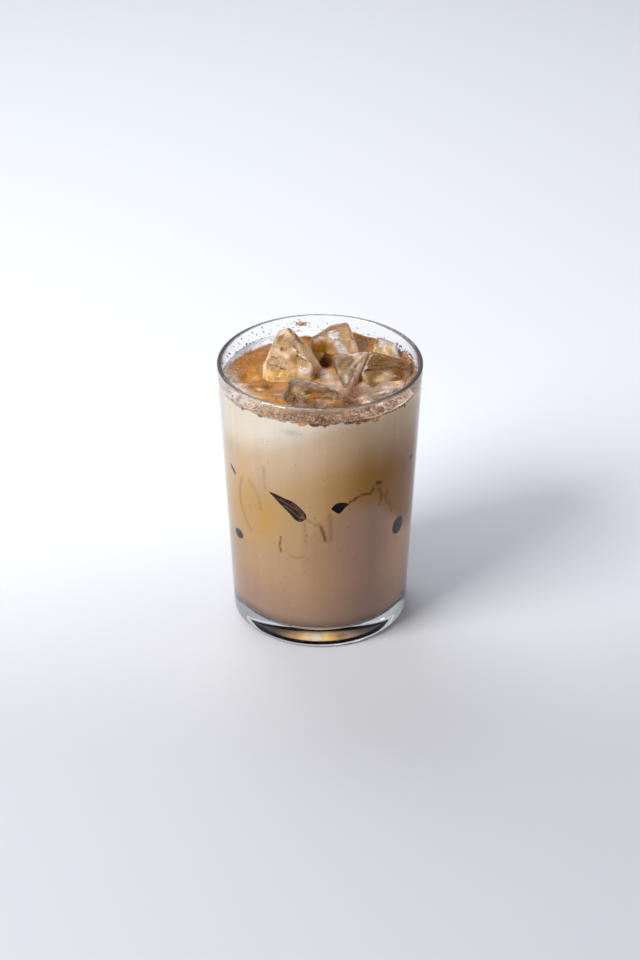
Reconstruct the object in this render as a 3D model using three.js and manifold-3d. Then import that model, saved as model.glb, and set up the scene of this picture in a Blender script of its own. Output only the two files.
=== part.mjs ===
// An iced latte with cinnamon in a clear tumbler: the tapered glass with its thick foot, three layers
// of drink that reach to just under the rim, and the pieces of ice that stand in them and above them.
// Millimetres, +Z up, with the origin at the middle of the glass's underside. Azimuths are in degrees,
// anticlockwise from +X seen from above, and -Y is the front.
import * as THREE from "three";
import { ConvexGeometry } from "three/addons/geometries/ConvexGeometry.js";
import { mergeVertices } from "three/addons/utils/BufferGeometryUtils.js";
import Module from "manifold-3d";

// The glass
const GLASS_HEIGHT = 120;
const RIM_RADIUS = 43;
const FOOT_RADIUS = 37.84; // where the outer wall's line meets the table
const WALL_AT_RIM = 2;
const WALL_AT_FOOT = 2.6;
const HEEL_RADIUS = 2.5; // the outer corner under the wall
const FLOOR_HEIGHT = 6.4; // the top of the thick glass under the drink
const FLOOR_FILLET = 9; // the inner corner between floor and wall
const PUNT_RADIUS = 29; // the shallow hollow under the foot
const PUNT_DEPTH = 1.2;
const GLASS_SEGMENTS = 60;

// The drink
const CLEARANCE = 0.3; // between neighbouring pieces
const DRINK_LEVEL = 112;
const MENISCUS_RISE = 1.1; // how far the milk climbs the wall
const MENISCUS_WIDTH = 2.5;
const RIPPLES = { height: 0.3, alongX: 0.31, shift: 0.9, alongY: 0.27 };
const CROSSING_RIPPLES = { height: 0.18, alongX: -0.4, alongY: 0.52 };
const MILK_THIN_FLOOR = 109.5; // the milk's underside at the right, where it is thin
const MILK_DROP = 0.5; // how fast it thickens towards the left, from the bend on
const MILK_BEND = { x: 5, width: 6 };
const MILK_LOBES = { height: 0.8, alongX: -0.05, alongY: 0.11, shift: 1.1 };
const COFFEE_FLOOR = 46; // the coffee's underside, apart from its hump
const COFFEE_HUMP = { azimuth: -62, height: 25, towardsLeft: 45, towardsRight: 33 };
const COFFEE_LOBES = { height: 2.5, count: 4, shift: 20 };
const PIT = { x: 2.3, y: 13.8, across: 2.6, along: 5, depth: 5 }; // the dark hole between three pieces of ice
const SLAB_RADIUS = 45; // wider than the cavity, so that the cavity's wall trims each layer
const FINE_RINGS = 10;
const COARSE_RINGS = 3;

// The cinnamon that has clumped, lying on the milk. Most of it has gathered at the front right, by the
// wall, and the rest is scattered.
const FLAKE_COUNT = 34;
const FLAKES_GATHERED = 18;
const GATHERED_AZIMUTHS = [-88, -18];
const ALL_AZIMUTHS = [0, 360];
const GATHERED_DEPTH = 7; // how far from the wall the gathered flakes reach
const FLAKE_SEED = 7;
const FLAKE_SIZES = [0.6, 1.6];
const FLAKE_WIDTHS = [0.6, 1]; // beside the flake's length
const FLAKE_FLATNESS = 0.5;

// The ice. Each piece has the corners of its upper end, then how deep it reaches, how wide its lower
// end is beside its upper one, and how round its melted edges are. A scoop is a hollow in a face, cut by
// a ball. The lower end leans as the upper one does, by the share LOWER_LEAN.
const ICE = {
  ice_peak: {
    corners: [
      [-16.2, 12.6, 125.4],
      [-13.2, 13.4, 126.3],
      [-22, 0.6, 116.4],
      [-4.4, -2.6, 117],
      [-1.2, 5.4, 113.4],
      [-5.8, 10.6, 119.4],
      [-20.4, 15.8, 113.6],
      [-22.2, -4, 110.4],
      [-17, -4.6, 110.4],
    ],
    bottom: 96,
    spread: 1.06,
    melt: 1.9,
    scoops: [],
  },
  ice_back: {
    corners: [
      [-2.6, 24.6, 116.6],
      [5, 28.8, 119.8],
      [11, 28.4, 121.4],
      [12.6, 21.4, 119.2],
      [15, 18.8, 114.8],
      [4.6, 19.8, 117.8],
    ],
    bottom: 100,
    spread: 1.02,
    melt: 1.6,
    scoops: [],
  },
  ice_tooth: {
    corners: [
      [6.6, 9.4, 115.9],
      [19.4, 7.2, 118.8],
      [11.4, -14, 110.9],
      [8.6, 16, 109.6],
      [19, 14.5, 112],
    ],
    bottom: 97,
    spread: 0.9,
    melt: 1.3,
    scoops: [{ at: [6.3, -5.2, 137.8], radius: 24 }],
  },
  ice_slab: {
    corners: [
      [21.6, 8.8, 118.2],
      [36.6, 7.2, 114.4],
      [36.6, 0, 112.9],
      [18.4, -3.4, 115],
      [22.6, -10.6, 109.4],
      [30.4, -7.6, 109.4],
      [26, 13, 112.4],
    ],
    bottom: 96,
    spread: 0.92,
    melt: 1.4,
    scoops: [{ at: [30.2, -13.9, 125.1], radius: 16 }],
  },
  ice_front: {
    corners: [
      [-11.4, -12.4, 116.4],
      [-1, -16.4, 116.6],
      [9.6, -23, 114.9],
      [14.6, -25, 112.6],
      [-14.8, -20.6, 111.6],
      [-7, -30.4, 112.2],
      [8.4, -31.4, 111.6],
    ],
    bottom: 98,
    spread: 0.98,
    melt: 1.6,
    scoops: [{ at: [-1.1, -29.5, 133.7], radius: 20 }],
  },
  ice_corner: {
    corners: [
      [25.2, 23.2, 117],
      [31.2, 19.6, 116.4],
      [23.6, 17.8, 113.6],
      [32.6, 14.8, 112.6],
      [27.6, 25.6, 113.4],
    ],
    bottom: 99,
    spread: 0.95,
    melt: 1.5,
    scoops: [],
  },
  ice_low_right: {
    corners: [
      [18.8, -18.6, 111.7],
      [31, -12.8, 112.1],
      [24.4, -25.4, 111.2],
      [32, -17.6, 111.4],
    ],
    bottom: 97,
    spread: 0.9,
    melt: 1.5,
    scoops: [],
  },
};
const LOWER_LEAN = 0.35;
const BEAD_DETAIL = 1;
const SCOOP_DETAIL = 3;

const wasm = await Module();
wasm.setup();

// Solids from geometry, and geometry from solids

function solidOf(geometry) {
  const bare = geometry.clone();
  for (const name of ["normal", "uv"]) bare.deleteAttribute(name);
  const merged = mergeVertices(bare, 1e-4);
  return new wasm.Manifold(
    new wasm.Mesh({
      numProp: 3,
      vertProperties: merged.attributes.position.array,
      triVerts: new Uint32Array(merged.index.array),
    }),
  );
}

function geometryOf(solid) {
  const mesh = solid.getMesh();
  const geometry = new THREE.BufferGeometry();
  geometry.setAttribute("position", new THREE.BufferAttribute(mesh.vertProperties, 3));
  geometry.setIndex(new THREE.BufferAttribute(mesh.triVerts, 1));
  geometry.computeVertexNormals();
  return geometry;
}

function seededRandom(seed) {
  let state = seed;
  return () => {
    state = (state * 16807) % 2147483647;
    return state / 2147483647;
  };
}

// Outlines are lists of points with x as the radius and y as the height, turned about the Z axis.

function arc(centreRadius, centreHeight, radius, from, to, steps) {
  return Array.from({ length: steps + 1 }, (_, i) => {
    const angle = from + ((to - from) * i) / steps;
    return new THREE.Vector2(
      centreRadius + radius * Math.cos(angle),
      centreHeight + radius * Math.sin(angle),
    );
  });
}

function turned(outline) {
  return new THREE.LatheGeometry(outline, GLASS_SEGMENTS).rotateX(Math.PI / 2);
}

// The glass

const OUTER_LEAN = Math.atan((RIM_RADIUS - FOOT_RADIUS) / GLASS_HEIGHT);
const INNER_FOOT_RADIUS = FOOT_RADIUS - WALL_AT_FOOT;
const INNER_RIM_RADIUS = RIM_RADIUS - WALL_AT_RIM;
const INNER_LEAN = Math.atan((INNER_RIM_RADIUS - INNER_FOOT_RADIUS) / GLASS_HEIGHT);

function innerRadius(height) {
  return INNER_FOOT_RADIUS + Math.tan(INNER_LEAN) * height;
}

// The arc that joins a leaning wall to a level floor. The wall's line passes wallRadius at floorHeight.
function cornerArc(wallRadius, floorHeight, lean, radius, steps) {
  const centreRadius = wallRadius + radius * Math.tan(lean) - radius / Math.cos(lean);
  return arc(centreRadius, floorHeight + radius, radius, -Math.PI / 2, -lean, steps);
}

// The cavity's outline from the axis to the rim, moved in from the glass by a gap.
function cavityOutline(gap, top) {
  const floor = FLOOR_HEIGHT + gap;
  const corner = cornerArc(innerRadius(floor) - gap, floor, INNER_LEAN, FLOOR_FILLET, 6);
  return [
    new THREE.Vector2(0, floor),
    ...corner,
    new THREE.Vector2(innerRadius(top) - gap, top),
  ];
}

function puntOutline(steps) {
  return Array.from({ length: steps + 1 }, (_, i) => {
    const share = i / steps;
    return new THREE.Vector2(PUNT_RADIUS * share, PUNT_DEPTH * (1 - share * share));
  });
}

function glassGeometry() {
  const rimRadius = WALL_AT_RIM / 2;
  const rimHeight = GLASS_HEIGHT - rimRadius;
  const heel = cornerArc(FOOT_RADIUS, 0, OUTER_LEAN, HEEL_RADIUS, 4);
  const rim = arc(RIM_RADIUS - rimRadius, rimHeight, rimRadius, 0, Math.PI, 6);
  const cavity = cavityOutline(0, rimHeight).slice(0, -1).reverse();
  return turned([...puntOutline(4), ...heel, ...rim, ...cavity]);
}

// The layers of drink

function surfaceHeight(x, y) {
  const radius = Math.hypot(x, y);
  const meniscus = MENISCUS_RISE * Math.exp((radius - innerRadius(DRINK_LEVEL)) / MENISCUS_WIDTH);
  const ripple = Math.sin(RIPPLES.alongX * x + RIPPLES.shift) * Math.cos(RIPPLES.alongY * y);
  const crossing = Math.sin(CROSSING_RIPPLES.alongX * x + CROSSING_RIPPLES.alongY * y);
  const waves = RIPPLES.height * ripple + CROSSING_RIPPLES.height * crossing;
  return DRINK_LEVEL + Math.min(meniscus, MENISCUS_RISE) + waves;
}

// The milk is thickest at the left, and thin at the right.
function milkFloor(x, y) {
  const past = x - MILK_BEND.x;
  const drop = (MILK_DROP / 2) * (Math.hypot(past, MILK_BEND.width) - past);
  const lobe = Math.sin(MILK_LOBES.alongX * x + MILK_LOBES.alongY * y + MILK_LOBES.shift);
  return MILK_THIN_FLOOR - drop + MILK_LOBES.height * lobe;
}

// The milk coffee below the coffee stands up in a hump at the front right, highest at the wall.
function coffeeFloor(x, y) {
  const azimuth = THREE.MathUtils.radToDeg(Math.atan2(y, x));
  const past = ((azimuth - COFFEE_HUMP.azimuth + 540) % 360) - 180;
  const width = past < 0 ? COFFEE_HUMP.towardsLeft : COFFEE_HUMP.towardsRight;
  const edge = Math.min(1, Math.hypot(x, y) / INNER_FOOT_RADIUS) ** 2;
  const hump = COFFEE_HUMP.height * Math.exp(-((past / width) ** 2));
  const lobe = Math.sin(THREE.MathUtils.degToRad(COFFEE_LOBES.count * azimuth + COFFEE_LOBES.shift));
  return COFFEE_FLOOR + edge * (hump + COFFEE_LOBES.height * lobe);
}

// A surface's points, given its height over x and y: the middle, then rings out to the slab's edge.
function surfacePoints(height, rings) {
  const points = [0, 0, height(0, 0)];
  for (let ring = 1; ring <= rings; ring++) {
    for (let step = 0; step < GLASS_SEGMENTS; step++) {
      const angle = (2 * Math.PI * step) / GLASS_SEGMENTS;
      const radius = (SLAB_RADIUS * ring) / rings;
      const x = radius * Math.cos(angle);
      const y = radius * Math.sin(angle);
      points.push(x, y, height(x, y));
    }
  }
  return points;
}

// The number of the point at a step of a ring, where the surface's points begin at first.
function pointNumber(first, ring, step) {
  return first + 1 + (ring - 1) * GLASS_SEGMENTS + (step % GLASS_SEGMENTS);
}

// A surface's triangles, wound to face up.
function surfaceFaces(first, rings) {
  const faces = [];
  for (let step = 0; step < GLASS_SEGMENTS; step++) {
    faces.push([first, pointNumber(first, 1, step), pointNumber(first, 1, step + 1)]);
    for (let ring = 1; ring < rings; ring++) {
      const inner = pointNumber(first, ring, step);
      const innerNext = pointNumber(first, ring, step + 1);
      const outer = pointNumber(first, ring + 1, step);
      const outerNext = pointNumber(first, ring + 1, step + 1);
      faces.push([inner, outer, outerNext], [inner, outerNext, innerNext]);
    }
  }
  return faces;
}

// A round slab between two surfaces.
function slab(lower, lowerRings, upper, upperRings) {
  const second = 1 + lowerRings * GLASS_SEGMENTS;
  const faces = surfaceFaces(0, lowerRings).map(([a, b, c]) => [a, c, b]);
  faces.push(...surfaceFaces(second, upperRings));
  for (let step = 0; step < GLASS_SEGMENTS; step++) {
    const low = pointNumber(0, lowerRings, step);
    const lowNext = pointNumber(0, lowerRings, step + 1);
    const high = pointNumber(second, upperRings, step);
    const highNext = pointNumber(second, upperRings, step + 1);
    faces.push([low, lowNext, highNext], [low, highNext, high]);
  }
  const points = [...surfacePoints(lower, lowerRings), ...surfacePoints(upper, upperRings)];
  const geometry = new THREE.BufferGeometry();
  geometry.setAttribute("position", new THREE.Float32BufferAttribute(points, 3));
  geometry.setIndex(faces.flat());
  return solidOf(geometry);
}

function cavitySolid(gap, top) {
  const outline = cavityOutline(gap, top);
  return solidOf(turned([...outline, new THREE.Vector2(0, top)]));
}

// The ice

// A block with rounded edges: the hull of a bead at each corner, upper and lower.
function iceHull(piece, grow) {
  const middle = new THREE.Vector3();
  for (const corner of piece.corners) middle.add(new THREE.Vector3(...corner));
  middle.divideScalar(piece.corners.length);
  const bead = new THREE.IcosahedronGeometry(piece.melt + grow, BEAD_DETAIL);
  const beadPoints = mergeVertices(bead.deleteAttribute("normal").deleteAttribute("uv"));
  const points = [];
  for (const [x, y, z] of piece.corners) {
    const lower = new THREE.Vector3(
      middle.x + (x - middle.x) * piece.spread,
      middle.y + (y - middle.y) * piece.spread,
      piece.bottom + LOWER_LEAN * (z - middle.z),
    );
    for (const place of [new THREE.Vector3(x, y, z), lower]) {
      for (let i = 0; i < beadPoints.attributes.position.count; i++) {
        const point = new THREE.Vector3().fromBufferAttribute(beadPoints.attributes.position, i);
        points.push(point.add(place));
      }
    }
  }
  return solidOf(new ConvexGeometry(points));
}

function scooped(block, piece, grow) {
  let solid = block;
  for (const scoop of piece.scoops) {
    const ball = new THREE.IcosahedronGeometry(scoop.radius - grow, SCOOP_DETAIL);
    solid = solid.subtract(solidOf(ball.translate(...scoop.at)));
  }
  return solid;
}

const iceSolids = {};
let iceWithClearance = null;
for (const [name, piece] of Object.entries(ICE)) {
  let solid = scooped(iceHull(piece, 0), piece, 0);
  if (iceWithClearance) solid = solid.subtract(iceWithClearance);
  const grown = scooped(iceHull(piece, CLEARANCE), piece, CLEARANCE);
  iceWithClearance = iceWithClearance ? iceWithClearance.add(grown) : grown;
  iceSolids[name] = solid;
}

// The cinnamon flakes

function between([low, high], share) {
  return low + (high - low) * share;
}

// A flake that would touch the ice or hang over the pit is left out.
function flakeSolids(forbidden) {
  const random = seededRandom(FLAKE_SEED);
  const flakes = [];
  for (let i = 0; i < FLAKE_COUNT; i++) {
    const gathered = i < FLAKES_GATHERED;
    const azimuth = between(gathered ? GATHERED_AZIMUTHS : ALL_AZIMUTHS, random());
    const size = between(FLAKE_SIZES, random() ** 2);
    const outermost = innerRadius(DRINK_LEVEL) - 2 * CLEARANCE - size;
    const inward = random();
    const radius = gathered ? outermost - GATHERED_DEPTH * inward : outermost * Math.sqrt(inward);
    const x = radius * Math.cos(THREE.MathUtils.degToRad(azimuth));
    const y = radius * Math.sin(THREE.MathUtils.degToRad(azimuth));
    const flake = new THREE.IcosahedronGeometry(size, 0);
    flake.scale(1, between(FLAKE_WIDTHS, random()), FLAKE_FLATNESS);
    flake.rotateZ(Math.PI * random());
    flake.translate(x, y, surfaceHeight(x, y));
    const solid = solidOf(flake);
    if (solid.intersect(forbidden).isEmpty()) flakes.push(solid);
  }
  return flakes;
}

// The whole drink

const group = new THREE.Group();

function place(name, geometry, look) {
  const mesh = new THREE.Mesh(geometry, new THREE.MeshStandardMaterial(look));
  mesh.name = name;
  group.add(mesh);
}

const CLEAR_GLASS = { color: 0xe9f0f1, roughness: 0.03, metalness: 0, transparent: true, opacity: 0.3 };
const CLEAR_ICE = { color: 0xe6dccb, roughness: 0.08, metalness: 0, transparent: true, opacity: 0.6 };
const SPICED_MILK = { color: 0xb98a5c, roughness: 0.7, metalness: 0 };
const COFFEE = { color: 0xc39c6c, roughness: 0.35, metalness: 0 };
const BROWN_MILK = { color: 0xa68567, roughness: 0.35, metalness: 0 };

const halfGap = CLEARANCE / 2;
const cavity = cavitySolid(CLEARANCE, GLASS_HEIGHT);
const belowAll = () => 0;

const lowerSlab = slab(belowAll, 1, (x, y) => coffeeFloor(x, y) - halfGap, COARSE_RINGS);
const coffeeSlab = slab(
  (x, y) => coffeeFloor(x, y) + halfGap,
  COARSE_RINGS,
  (x, y) => milkFloor(x, y) - halfGap,
  COARSE_RINGS,
);
const milkSlab = slab(
  (x, y) => milkFloor(x, y) + halfGap,
  COARSE_RINGS,
  surfaceHeight,
  FINE_RINGS,
);

const pitBall = new THREE.IcosahedronGeometry(1, 1);
pitBall.scale(PIT.across, PIT.along, PIT.depth).translate(PIT.x, PIT.y, DRINK_LEVEL);
const pit = solidOf(pitBall);

let milkCap = milkSlab.intersect(cavity).subtract(pit);
for (const flake of flakeSolids(iceWithClearance.add(pit))) milkCap = milkCap.add(flake);

place("glass", glassGeometry(), CLEAR_GLASS);
place("lower_milk_coffee", geometryOf(lowerSlab.intersect(cavity)), BROWN_MILK);
const coffee = coffeeSlab.intersect(cavity).subtract(pit).subtract(iceWithClearance);
place("upper_coffee", geometryOf(coffee), COFFEE);
place("cinnamon_milk", geometryOf(milkCap.subtract(iceWithClearance)), SPICED_MILK);
for (const [name, solid] of Object.entries(iceSolids)) place(name, geometryOf(solid), CLEAR_ICE);

export default group;
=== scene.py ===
# The looks of an iced latte in a clear tumbler: the glass, three layers of milk coffee, melting ice
# that stands above them and shows sunk at the wall, and ground cinnamon.
# Sizes are in millimetres unless a name says otherwise, and are made into metres when a mesh is built.
# Azimuths are in degrees, anticlockwise from +X seen from above, and -Y is the front. An angle is in
# degrees to the right of the front. Colours whose parts go up to 255 are given as they are seen.
# A noise is given by how fine it is per millimetre, along x, y and z where that differs, and its seed.
import math
from random import Random

import bmesh
import bpy
import numpy as np
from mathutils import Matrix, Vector, noise
from mathutils.bvhtree import BVHTree


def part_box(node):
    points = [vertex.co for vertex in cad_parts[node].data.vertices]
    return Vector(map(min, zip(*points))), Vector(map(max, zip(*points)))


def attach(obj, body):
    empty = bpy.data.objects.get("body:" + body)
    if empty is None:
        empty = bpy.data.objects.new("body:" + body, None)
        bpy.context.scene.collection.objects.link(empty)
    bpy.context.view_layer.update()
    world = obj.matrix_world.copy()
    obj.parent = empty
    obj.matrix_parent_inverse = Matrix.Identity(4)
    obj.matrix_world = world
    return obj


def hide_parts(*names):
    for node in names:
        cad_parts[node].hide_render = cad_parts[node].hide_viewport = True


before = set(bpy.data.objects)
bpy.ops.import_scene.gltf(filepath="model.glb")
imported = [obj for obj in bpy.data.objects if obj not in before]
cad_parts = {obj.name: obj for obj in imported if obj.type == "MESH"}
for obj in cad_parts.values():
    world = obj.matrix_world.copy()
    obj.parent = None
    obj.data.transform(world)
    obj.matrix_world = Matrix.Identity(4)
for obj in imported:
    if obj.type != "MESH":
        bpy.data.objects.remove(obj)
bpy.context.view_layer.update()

MM = 0.001
BODY = "root"

# The camera
CAMERA_ELEVATION = 31.03
CAMERA_DISTANCE = 946
CAMERA_AIM = (0, 0.73, 61.2)
CAMERA_LENS = 82.43

# The glass, as the solids have it
GLASS_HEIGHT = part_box("glass")[1].z / MM
RIM_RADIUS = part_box("glass")[1].x / MM
FOOT_RADIUS = 37.84
WALL_AT_RIM = 2
WALL_AT_FOOT = 2.6
HEEL_RADIUS = 2.5
FLOOR_HEIGHT = 6.4
FLOOR_FILLET = 9
PUNT_RADIUS = 29
PUNT_DEPTH = 1.2

# The drink, as the solids have it
CLEARANCE = 0.3
DRINK_LEVEL = 112
MENISCUS_RISE = 1.1
MENISCUS_WIDTH = 2.5
RIPPLES = {"height": 0.3, "along_x": 0.31, "shift": 0.9, "along_y": 0.27}
CROSSING_RIPPLES = {"height": 0.18, "along_x": -0.4, "along_y": 0.52}
MILK_THIN_FLOOR = 109.5
MILK_DROP = 0.5
MILK_BEND = {"x": 5, "width": 6}
MILK_LOBES = {"height": 0.8, "along_x": -0.05, "along_y": 0.11, "shift": 1.1}
COFFEE_FLOOR = 46
COFFEE_HUMP = {"azimuth": -62, "height": 25, "towards_left": 45, "towards_right": 33}
COFFEE_LOBES = {"height": 2.5, "count": 4, "shift": 20}
PIT = {"x": 2.3, "y": 13.8, "across": 2.6, "along": 5, "depth": 5}
FLAKE_COUNT = 34
FLAKES_GATHERED = 18
GATHERED_AZIMUTHS = (-88, -18)
ALL_AZIMUTHS = (0, 360)
GATHERED_DEPTH = 7
FLAKE_SEED = 7
FLAKE_SIZES = (0.6, 1.6)
FLAKE_WIDTHS = (0.6, 1)
FLAKE_FLATNESS = 0.5
RANDOM_STEP = 16807
RANDOM_COUNT = 2147483647

# How finely the drink and the glass are made
SEGMENTS = 480
SURFACE_RINGS = 80
JOINT_RINGS = 4
PIT_RINGS = 16
WALL_STEP = 0.7
GLASS_STEPS = {"punt": 12, "heel": 12, "wall": 12, "rim": 16, "corner": 16, "floor": 10}
CAVITY_STEPS = {"floor": 8, "corner": 14}
SHARPEST = {"glass": 80, "ice": 60, "drink": 50, "flakes": 35}  # what is flatter is shaded smooth

WALL_REACH = 0.1  # how far the drink reaches into the glass
JOINT_GAP = 0.02  # between two layers of the drink
ON_WALL = 0.05  # what is nearer to the drink's wall than this is on it
GLASS_BEND = 1.5  # how much each bends light beside air
DRINK_BEND = 1.34
ICE_BEND = 1.31
ICE_NODES = [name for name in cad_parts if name.startswith("ice_")]

NOISE_SHIFT = np.array([17.3, 5.1, 9.7])  # from one seed's noise to the next
RAGGED_SCALES = (0.45, 1.5)
RAGGED_SEEDS = (21, 22, 23)
RAGGED = {"ice": 0.3, "wall": 0.5, "top": 1.0}  # how far what is painted strays from its place
FLAT_EDGE = 1.5  # how sharply a spot ends on the drink: the power that its distance is raised to

# Colours as they are seen on the drink and the ice
SEEN = {
    "white": (230, 234, 246),
    "pearl": (212, 202, 200),
    "shell": (218, 198, 176),
    "ivory": (230, 214, 186),
    "cream": (222, 194, 156),
    "blush": (196, 168, 150),
    "beige": (196, 164, 130),
    "sand": (214, 196, 178),
    "tan": (172, 136, 98),
    "mauve": (160, 138, 128),
    "taupe": (140, 114, 94),
    "gold": (236, 200, 136),
    "honey": (208, 172, 114),
    "copper": (200, 142, 80),
    "amber": (170, 120, 62),
    "cinnamon": (170, 110, 38),
    "brown": (146, 108, 76),
    "olive": (122, 98, 64),
    "rust": (126, 74, 40),
    "umber": (104, 72, 44),
    "soot": (58, 34, 20),
}
DARKEST, BRIGHTEST = 0.005, 0.95  # of what reflects light


# Small helpers


def between(ends, share):
    return ends[0] + (ends[1] - ends[0]) * share


def points_between(start, stop, steps):
    """The places at even steps on the line between two others."""
    shares = np.linspace(0, 1, steps + 1)[1:-1]
    return [(between((start[0], stop[0]), share), between((start[1], stop[1]), share)) for share in shares]


def smooth(low, high, value):
    share = np.clip((value - low) / (high - low), 0, 1)
    return share * share * (3 - 2 * share)


def wrapped(degrees):
    """Degrees from -180 to 180."""
    return (degrees + 180) % 360 - 180


def angle_of(x, y):
    return wrapped(np.degrees(np.arctan2(y, x)) + 90)


def on_circle(radius, azimuth, height):
    """A place round the glass. Here the azimuth is in radians."""
    return radius * math.cos(azimuth), radius * math.sin(azimuth), height


def noise_at(points, scale, seed):
    """Noise from about -1 to 1 at each point."""
    scaled = np.asarray(points, float) * scale + NOISE_SHIFT * seed
    return np.array([noise.noise(Vector(place)) for place in scaled])


def mixed_noise(points, parts):
    """Noises added up, each given by its scale, its seed and its share."""
    return sum(share * noise_at(points, scale, seed) for scale, seed, share in parts)


def ragged(points, reach):
    """The points moved a little about, so that what is painted by place has uneven edges."""
    coarse, fine = RAGGED_SCALES
    moves = [mixed_noise(points, [(coarse, seed, reach), (fine, seed, reach / 2)]) for seed in RAGGED_SEEDS]
    return points + np.column_stack(moves)


def seeded_random(seed):
    """The same row of numbers that the solids' flakes are drawn from."""
    state = seed
    while True:
        state = state * RANDOM_STEP % RANDOM_COUNT
        yield state / RANDOM_COUNT


def linear(red, green, blue):
    """A seen colour made into light, by the rule for screens."""
    parts = np.array([red, green, blue]) / 255
    return np.where(parts <= 0.04045, parts / 12.92, ((parts + 0.055) / 1.055) ** 2.4)


def opaque(red, green, blue):
    """A seen colour for a material."""
    return (*linear(red, green, blue), 1)


def paint(name, light=1.0):
    """A seen colour without the light that falls on it."""
    return np.minimum(linear(*SEEN[name]) / light, BRIGHTEST)


def laid_over(colours, share, colour):
    """Another colour laid over some, by a share for each point."""
    return colours + (colour - colours) * np.asarray(share)[:, None]


def round_glass(angle, stops):
    """A number or a colour that changes round the glass, from its stops."""
    angles = [stop[0] for stop in stops]
    values = np.array([stop[1] for stop in stops], float)
    if values.ndim == 1:
        return np.interp(angle, angles, values)
    return np.column_stack([np.interp(angle, angles, part) for part in values.T])


def flat_spot(x, y, place, half_sizes):
    """How much of a spot lies on each place, from 0 to 1."""
    away = ((x - place[0]) / half_sizes[0]) ** 2 + ((y - place[1]) / half_sizes[1]) ** 2
    return np.exp(-(away**FLAT_EDGE))


def put_in_scene(name, data):
    made = bpy.data.objects.new(name, data)
    bpy.context.scene.collection.objects.link(made)
    return made


def object_of(name, points, faces):
    """A mesh object from points in millimetres."""
    mesh = bpy.data.meshes.new(name)
    mesh.from_pydata((np.asarray(points, float) * MM).tolist(), [], faces)
    mesh.update()
    return put_in_scene(name, mesh)


def joined(name, blocks):
    """One object from many blocks, each its points and its faces."""
    faces = []
    first = 0
    for block_points, block_faces in blocks:
        faces.extend(tuple(first + i for i in face) for face in block_faces)
        first += len(block_points)
    return object_of(name, np.vstack([block_points for block_points, _ in blocks]), faces)


def vectors_of(items, name):
    flat = np.empty(len(items) * 3)
    items.foreach_get(name, flat)
    return flat.reshape(-1, 3)


def points_of(made):
    """An object's vertices in millimetres."""
    return vectors_of(made.data.vertices, "co") / MM


def centres_of(made):
    """The middles of an object's faces in millimetres."""
    return vectors_of(made.data.polygons, "center") / MM


def normals_of(made):
    return vectors_of(made.data.vertices, "normal")


def faces_of(made):
    return [tuple(face.vertices) for face in made.data.polygons]


def set_points(made, points):
    made.data.vertices.foreach_set("co", (points * MM).ravel())
    made.data.update()


def set_colours(made, name, colours, cover=1.0):
    """A colour for each vertex, and how much of it hides what is under it."""
    attribute = made.data.attributes.new(name, "FLOAT_COLOR", "POINT")
    colours = np.clip(colours, DARKEST, BRIGHTEST)
    values = np.column_stack([colours, np.broadcast_to(cover, len(colours))])
    attribute.data.foreach_set("color", values.astype(np.float32).ravel())


def set_values(made, name, values):
    """A number for each vertex, which the material reads."""
    attribute = made.data.attributes.new(name, "FLOAT", "POINT")
    attribute.data.foreach_set("value", np.asarray(values, np.float32))


def with_modifiers(made):
    """Puts the result of an object's modifiers into its mesh."""
    graph = bpy.context.evaluated_depsgraph_get()
    result = bpy.data.meshes.new_from_object(made.evaluated_get(graph))
    old = made.data
    made.modifiers.clear()
    made.data = result
    bpy.data.meshes.remove(old)


def softened(made, rounds):
    soften = made.modifiers.new("soften", "SMOOTH")
    soften.iterations = rounds
    with_modifiers(made)


def smooth_shading(made, kind):
    made.data.shade_smooth()
    made.data.set_sharp_from_angle(angle=math.radians(SHARPEST[kind]))


def tree_of(made):
    """A search tree over an object's faces, in millimetres."""
    return BVHTree.FromPolygons([Vector(place) for place in points_of(made)], faces_of(made))


def finished(made, materials, slot, *nodes):
    """What every piece of the object says."""
    made.data.materials.clear()
    for material in materials:
        made.data.materials.append(material)
    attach(made, BODY)
    if nodes:
        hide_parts(*nodes)
    return made


def use_second_material(made, faces):
    """Gives an object's second material to the faces that are True."""
    made.data.polygons.foreach_set("material_index", faces.astype(np.int32))


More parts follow.
